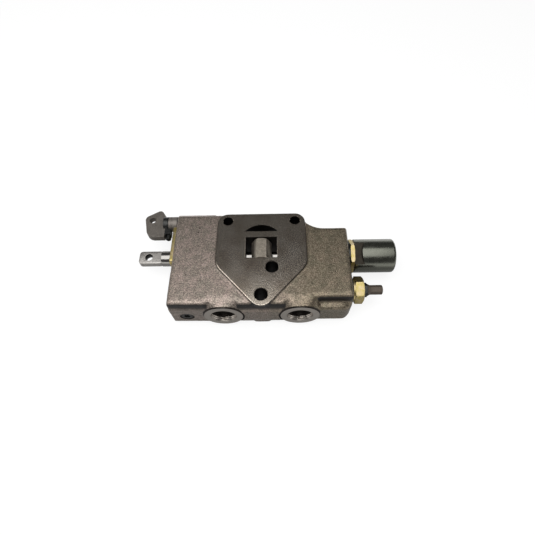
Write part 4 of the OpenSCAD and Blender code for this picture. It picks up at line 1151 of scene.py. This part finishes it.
class VALVE_OT_lever(bpy.types.Operator):
    """Builds the flow-control lever, its gland, spindle and lock screw"""

    bl_idname = "valve.lever"
    bl_label = "Flow control"

    def execute(self, context):
        look = context.scene.valve_metals
        # manganese phosphate: soft grey-brown crystals without any mirror
        phosphate = plated_steel(
            "steel_manganese_phosphate", look.phosphate, shade(look.phosphate, 0.8), 0.5, 5.0, 0.7
        )
        for name, node, slot, finish, edge, segments in (
            ("lever_blade_formed", "flow_lever_blade", "lever_phosphate", phosphate, 0.5, 3),
            ("lever_hub_turned", "flow_lever_hub", "lever_phosphate", screw_steel(look), 0.3, 2),
            ("lever_lock_screw_head", "lever_lock_screw", "screw_steel", screw_steel(look), 0.2, 2),
        ):
            place(rounded(cad_copy(name, node), edge, segments), slot, node, material=finish)
        low, high = box_mm("spindle_gland")
        seat, flange_r, groove_r, fit_r = BODY_LOW.x - 1.3, 7.05, 6.7, 5.95
        gland = turned("gland_turned", [
            (low.x, flange_r), (low.x + 2.6, flange_r), (low.x + 2.6, groove_r), (low.x + 3.3, groove_r),
            (low.x + 3.3, flange_r), (seat, flange_r), (seat, fit_r), (high.x, fit_r),
        ], "X", FLOW_AXIS, 0.4)
        drilled(gland, ("X", FLOW_AXIS, low.x - 1, high.x + 1, NUT_THREAD_R))
        # plain turned steel gone grey, with coarse feed marks
        grey = turned_metal("steel_turned_grey", look.gland, 0.55, "X", 0.5, 0.02, 0.08, 0.8)
        place(gland, "gland_steel", "spindle_gland", material=grey)
        finish_nodes("seat_steel", bright_steel(look), "flow_spindle")
        return {"FINISHED"}


class VALVE_OT_relief(bpy.types.Operator):
    """Builds the relief cartridge with its adjuster and lock nut"""

    bl_idname = "valve.relief"
    bl_label = "Relief cartridge"

    def execute(self, context):
        look = context.scene.valve_metals
        axis, turn = RELIEF_AXIS, -8
        low, high = box_mm("relief_cartridge_body")
        face, hex_start = BODY_HIGH.x + 2, BODY_HIGH.x + 3.5
        cartridge = hex_bar(
            "relief_cartridge_hex", hex_start, high.x, 21, axis, turn, ends=(0.8, 2.4), edge=0.4
        )
        barrel = turned("barrel", [
            (low.x, 8.15), (face, 8.15), (face, 9.9), (hex_start + 0.4, 9.9),
        ], "X", axis, 0.3)
        carve(cartridge, [barrel], "UNION")
        drilled(cartridge, ("X", axis, low.x - 1, 50, 3.0), ("X", axis, 49.99, 75.5, 5.5),
            ("X", axis, 75, high.x + 1, NUT_THREAD_R))
        cross, reach, return_r = [], 9.5, 1.3
        for angle in (45, -45):
            tool = rod("return", "Z", (RELIEF_CROSS_X, 0), -reach, reach, return_r, 24)
            tool.data.transform(Matrix.Translation((0, *axis)) @ Matrix.Rotation(math.radians(angle), 4, "X"))
            cross.append(tool)
        carve(cartridge, cross)
        place(cartridge, "yellow_zinc", "relief_cartridge_body", material=yellow_zinc(look))

        low, high = box_mm("relief_adjusting_screw")
        nut_low, nut_high = (corner.x for corner in box_mm("relief_lock_nut"))
        shoulder = nut_high + 0.3
        drive = shoulder + 2.2
        screw = turned("relief_adjuster", [
            (low.x, 4), (shoulder, 4), (shoulder, 5.4), (drive, 4.27), (drive + 0.5, 4.2),
        ], "X", axis, 0.3)
        bar = hex_bar("drive", drive - 0.5, high.x, 7.4, axis, turn, ends=(0.01, 1.0), edge=0.3)
        carve(screw, [bar], "UNION")
        # coarse turning under old oil: brown, with broad rings
        dark = turned_metal("steel_turned_dark", look.adjuster, 0.6, "X", 1.2, 0.08, 0.22, 0.6)
        place(screw, "adjuster_steel", "relief_adjusting_screw", material=dark)
        nut = hex_bar("relief_nut", nut_low, nut_high, 11, axis, turn, ends=(0.5, 0.5))
        drilled(nut, ("X", axis, nut_low - 1, nut_high + 1, NUT_THREAD_R))
        place(nut, "screw_steel", "relief_lock_nut", material=screw_steel(look))
        finish_nodes("seat_steel", bright_steel(look), "relief_seat", "relief_poppet", "relief_spring_disc")
        return {"FINISHED"}


class VALVE_OT_check(bpy.types.Operator):
    """Builds the check valve in the pressure gallery, and the gallery plug"""

    bl_idname = "valve.check"
    bl_label = "Check valve and plug"

    def execute(self, context):
        look = context.scene.valve_metals
        # bare milled steel: pale and warm, with fine mill marks
        milled = plated_steel("steel_milled_plain", look.check, shade(look.check, 0.8), 0.42, 3.0, 1.0, 0.9)
        body = cad_copy("check_valve_hex", "check_valve_body")
        end, across_flats = CHECK_HIGH.y, CHECK_HIGH.z - CHECK_LOW.z
        crown = hex_bar("crown", end - 7, end, across_flats, CHECK_AXIS, 90, "Y", ends=(0.01, 1.0))
        drilled(crown, ("Y", CHECK_AXIS, end - 8, end + 1, 6.8))
        carve(body, [crown], "UNION")
        place(rounded(body, 0.3), "check_steel", "check_valve_body", material=milled)
        finish_nodes("seat_steel", bright_steel(look), "check_ball")
        place(rounded(cad_copy("gallery_plug_socket", "gallery_plug"), 0.2), "screw_steel", "gallery_plug",
            material=screw_steel(look))
        return {"FINISHED"}


# ---------------------------------------------------------------- springs and seals


def coil_tree():
    """Round-wire compression spring along X, from its start, with named inputs."""
    tree, given = geometry_tree(
        "coil_spring", "Spring", Start="Vector", Length="Float", Mean_Radius="Float", Wire_Radius="Float",
        Turns="Float", Finish="Material"
    )
    gauge, mean = given["Wire Radius"], given["Mean Radius"]
    rise = add(tree, "ShaderNodeMath", {1: -2.0}, {0: gauge, 2: given["Length"]}, operation="MULTIPLY_ADD")
    helix = add(tree, "GeometryNodeCurveSpiral", {"Resolution": 40},
        {"Rotations": given["Turns"], "Start Radius": mean, "End Radius": mean, "Height": rise})
    section = add(tree, "GeometryNodeCurvePrimitiveCircle", {"Resolution": 14}, {"Radius": gauge})
    wire = add(tree, "GeometryNodeCurveToMesh", {"Fill Caps": True}, {"Curve": helix, "Profile Curve": section})
    offset = add(tree, "ShaderNodeCombineXYZ", links={"X": gauge})
    at = add(tree, "ShaderNodeVectorMath", links={0: given["Start"], 1: offset}, operation="ADD")
    laid = add(tree, "GeometryNodeTransform", {"Rotation": Euler((0, math.radians(90), 0))},
        {"Geometry": wire, "Translation": at})
    real = add(tree, "GeometryNodeRealizeInstances", links={"Geometry": laid})
    done = add(tree, "GeometryNodeSetMaterial", links={"Geometry": real, "Material": given["Finish"]})
    add(tree, "NodeGroupOutput", links={"Spring": done})
    return tree


def turns_property(name, description, turns):
    return FloatProperty(name=name, description=description, default=turns, min=1)


class SpringLook(bpy.types.PropertyGroup):
    wire: colour_property("Spring wire", "Colour of the drawn spring wire", "#a9a8a5")
    centring_turns: turns_property("Centring turns", "Turns of the centring spring", 7.0)
    relief_turns: turns_property("Relief turns", "Turns of the relief spring", 5.0)
    check_turns: turns_property("Check turns", "Turns of the check spring", 7.0)


class VALVE_OT_springs(bpy.types.Operator):
    """Winds the centring spring, the relief spring and the check spring"""

    bl_idname = "valve.springs"
    bl_label = "Springs"

    def execute(self, context):
        look = context.scene.valve_springs
        # drawn wire: bright, with faint streaks from the die
        wire = turned_metal("spring_steel_drawn", look.wire, 0.3, "X", 0.6, 0.01, 0.08)
        tree = coil_tree()
        # each spring: its node, mean and wire radius, turns, angle about Z, whether its low end stays
        # with the housing, and the body that moves its other end
        for node, mean, gauge, turns, angle, fixed_low, mover in (
            ("centring_spring", 8.2, 1.1, look.centring_turns, 0, True, "spool_group"),
            ("relief_spring", 3.7, 0.8, look.relief_turns, 0, False, "poppet"),
            ("check_spring", 1.62, 0.3, look.check_turns, 90, True, "ball"),
        ):
            low, high = box_mm(node)
            centre = (low + high) / 2
            reach = (high - low)[1 if angle else 0]
            coil = grow(node + "_wound", tree, start=(-reach / 2, 0, 0), length=reach, mean_radius=mean,
                wire_radius=gauge, turns=turns, finish=wire)
            turn = Matrix.Rotation(math.radians(angle), 4, "Z")
            coil.data.transform(Matrix.Translation(centre) @ turn)
            place(coil, "spring_steel", node, ride=False)
            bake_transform(coil)
        return {"FINISHED"}


class VALVE_OT_seals(bpy.types.Operator):
    """Gives the seals and rings their rubber"""

    bl_idname = "valve.seals"
    bl_label = "Seals"

    def execute(self, context):
        look = context.scene.valve_metals
        finish_nodes(
            "seal_rubber", rubber(look), "rod_seal", "wiper_ring", "cap_o_ring", "gland_seal",
            "spindle_o_ring", "relief_bonded_seal"
        )
        return {"FINISHED"}


# ---------------------------------------------------------------- stage


# Where the lamp and the camera stand, in metres, and how the camera is turned, in degrees
LAMP_AT, LAMP_SIDES = (-0.25, -0.2, 1.0), (1.5, 1.1)
CAMERA_AT, CAMERA_TURN = (0.01293, -0.21212, 0.32713), (29.63, 1.30, -0.80)
FOCAL_LENGTH, SENSOR_WIDTH = 26.49, 36.0
FLOOR_RADIUS = 3.0

# Levels of the white backdrop in reflections and of the white floor to the camera
BACKDROP_LEVEL, FLOOR_LEVEL = 1.4, 0.845


def level_property(name, description, level):
    return FloatProperty(name=name, description=description, default=level, min=0)


class StageLook(bpy.types.PropertyGroup):
    lamp_power: level_property("Lamp power", "Power of the overhead light box", 13.0)
    fill: level_property("Fill", "Level of the light from all round", 0.15)
    ceiling: level_property("Ceiling", "Level of the ceiling in reflections", 0.15)
    floor: colour_property("Floor", "Colour of the floor", "#808080")


def light_paths(tree):
    """Node outputs that are 1 on rays from the camera, and on rays that metal or glass sends on."""
    path = add(tree, "ShaderNodeLightPath").outputs
    sent_on = add(tree, "ShaderNodeMath",
        links={0: path["Is Glossy Ray"], 1: path["Is Transmission Ray"]}, operation="MAXIMUM")
    return path["Is Camera Ray"], sent_on


def stage_world(look):
    """White backdrop with a darker studio ceiling above it."""
    world = bpy.data.worlds.new("studio")
    tree = cleared(world)
    camera, mirrored = light_paths(tree)
    facing = add(tree, "ShaderNodeTexCoord").outputs["Generated"]
    height = add(tree, "ShaderNodeSeparateXYZ", links={0: facing}).outputs["Z"]
    backdrop = add(tree, "ShaderNodeMapRange",
        {"From Min": 0.03, "From Max": 0.14, "To Min": BACKDROP_LEVEL, "To Max": look.ceiling},
        {"Value": height}, **SMOOTH)
    level = add(tree, "ShaderNodeMix", {2: look.fill}, {"Factor": mirrored, 3: backdrop}, data_type="FLOAT")
    shown = add(tree, "ShaderNodeMix", {3: 1.0}, {"Factor": camera, 2: level}, data_type="FLOAT")
    light = add(tree, "ShaderNodeBackground", {"Color": (1, 1, 1, 1)}, {"Strength": shown})
    add(tree, "ShaderNodeOutputWorld", links={"Surface": light})
    bpy.context.scene.world = world


def stage_floor(look):
    """White floor that keeps the shadow of the valve."""
    material = bpy.data.materials.new("floor_white_paper")
    tree = cleared(material)
    camera, mirrored = light_paths(tree)
    # painted shade: under and close round the valve the floor is painted darker in what the metal mirrors,
    # standing in for the valve's own shade
    coords = add(tree, "ShaderNodeTexCoord").outputs["Object"]
    spread = add(tree, "ShaderNodeMapping",
        {"Location": (0, 0.39, 0), "Scale": (6.2, 11, 0)}, {"Vector": coords})
    far = add(tree, "ShaderNodeVectorMath", links={0: spread}, operation="LENGTH")
    level = add(tree, "ShaderNodeMapRange",
        {"From Min": 0.95, "From Max": 1.3, "To Min": 0.27, "To Max": 1.25},
        {"Value": far.outputs["Value"]}, **SMOOTH)
    pale = add(tree, "ShaderNodeMath", links={0: mirrored, 1: level}, operation="MULTIPLY")
    glow = add(tree, "ShaderNodeMath", {1: FLOOR_LEVEL}, {0: camera, 2: pale}, operation="MULTIPLY_ADD")
    paper = add(tree, "ShaderNodeBsdfDiffuse", {"Color": look.floor})
    light = add(tree, "ShaderNodeEmission", {"Color": (1, 1, 1, 1)}, {"Strength": glow})
    both = add(tree, "ShaderNodeAddShader", links={0: paper, 1: light})
    add(tree, "ShaderNodeOutputMaterial", links={"Surface": both})
    rim_points = [(x, y, 0) for x, y in arc((0, 0), FLOOR_RADIUS, 0, 350, 35)]
    return mesh_object("floor", rim_points, [range(36)], [material])


class VALVE_OT_stage(bpy.types.Operator):
    """Sets up the floor, the light box, the backdrop and the camera"""

    bl_idname = "valve.stage"
    bl_label = "Stage"

    def execute(self, context):
        look = context.scene.valve_stage
        scene = context.scene
        scene.view_settings.view_transform = "Standard"
        stage_world(look)
        box = bpy.data.lights.new("light_box", "AREA")
        box.shape, (box.size, box.size_y) = "RECTANGLE", LAMP_SIDES
        box.energy = look.lamp_power
        lamp = bpy.data.objects.new("light_box", box)
        lamp.location = LAMP_AT
        scene.collection.objects.link(lamp)
        lens = bpy.data.cameras.new("camera")
        lens.lens, lens.sensor_width = FOCAL_LENGTH, SENSOR_WIDTH
        lens.clip_start, lens.clip_end = 0.01, 20.0
        camera = bpy.data.objects.new("camera", lens)
        tilt, roll, pan = (math.radians(a) for a in CAMERA_TURN)
        camera.matrix_world = Matrix.Translation(CAMERA_AT) @ (
            Matrix.Rotation(tilt, 4, "X") @ Matrix.Rotation(roll, 4, "Y") @ Matrix.Rotation(pan, 4, "Z")
        )
        scene.collection.objects.link(camera)
        scene.camera = camera
        stage_floor(look)
        return {"FINISHED"}


# ---------------------------------------------------------------- panel and run


LOOKS = (
    ("valve_housing", HousingLook),
    ("valve_metals", MetalLook),
    ("valve_springs", SpringLook),
    ("valve_stage", StageLook),
)
PIECES = (
    VALVE_OT_housing,
    VALVE_OT_spool,
    VALVE_OT_end_plate,
    VALVE_OT_cap,
    VALVE_OT_lever,
    VALVE_OT_relief,
    VALVE_OT_check,
    VALVE_OT_springs,
    VALVE_OT_seals,
    VALVE_OT_stage,
)


class VALVE_PT_panel(bpy.types.Panel):
    """Lists the pieces of the valve and the stage"""

    bl_idname = "VALVE_PT_panel"
    bl_label = "Valve section"
    bl_space_type = "VIEW_3D"
    bl_region_type = "UI"
    bl_category = "Valve"

    def draw(self, context):
        for piece in PIECES:
            self.layout.operator(piece.bl_idname)
        for name, _ in LOOKS:
            group = getattr(context.scene, name)
            column = self.layout.column(align=True)
            for key in group.__annotations__:
                column.prop(group, key)


def register():
    for _, group in LOOKS:
        bpy.utils.register_class(group)
    for piece in (*PIECES, VALVE_PT_panel):
        bpy.utils.register_class(piece)
    for name, group in LOOKS:
        setattr(bpy.types.Scene, name, PointerProperty(type=group))


def unregister():
    for name, _ in reversed(LOOKS):
        delattr(bpy.types.Scene, name)
    for piece in reversed((*PIECES, VALVE_PT_panel)):
        bpy.utils.unregister_class(piece)
    for _, group in reversed(LOOKS):
        bpy.utils.unregister_class(group)


def main():
    register()
    for piece in PIECES:
        area, name = piece.bl_idname.split(".")
        getattr(getattr(bpy.ops, area), name)()


if __name__ == "__main__":
    main()
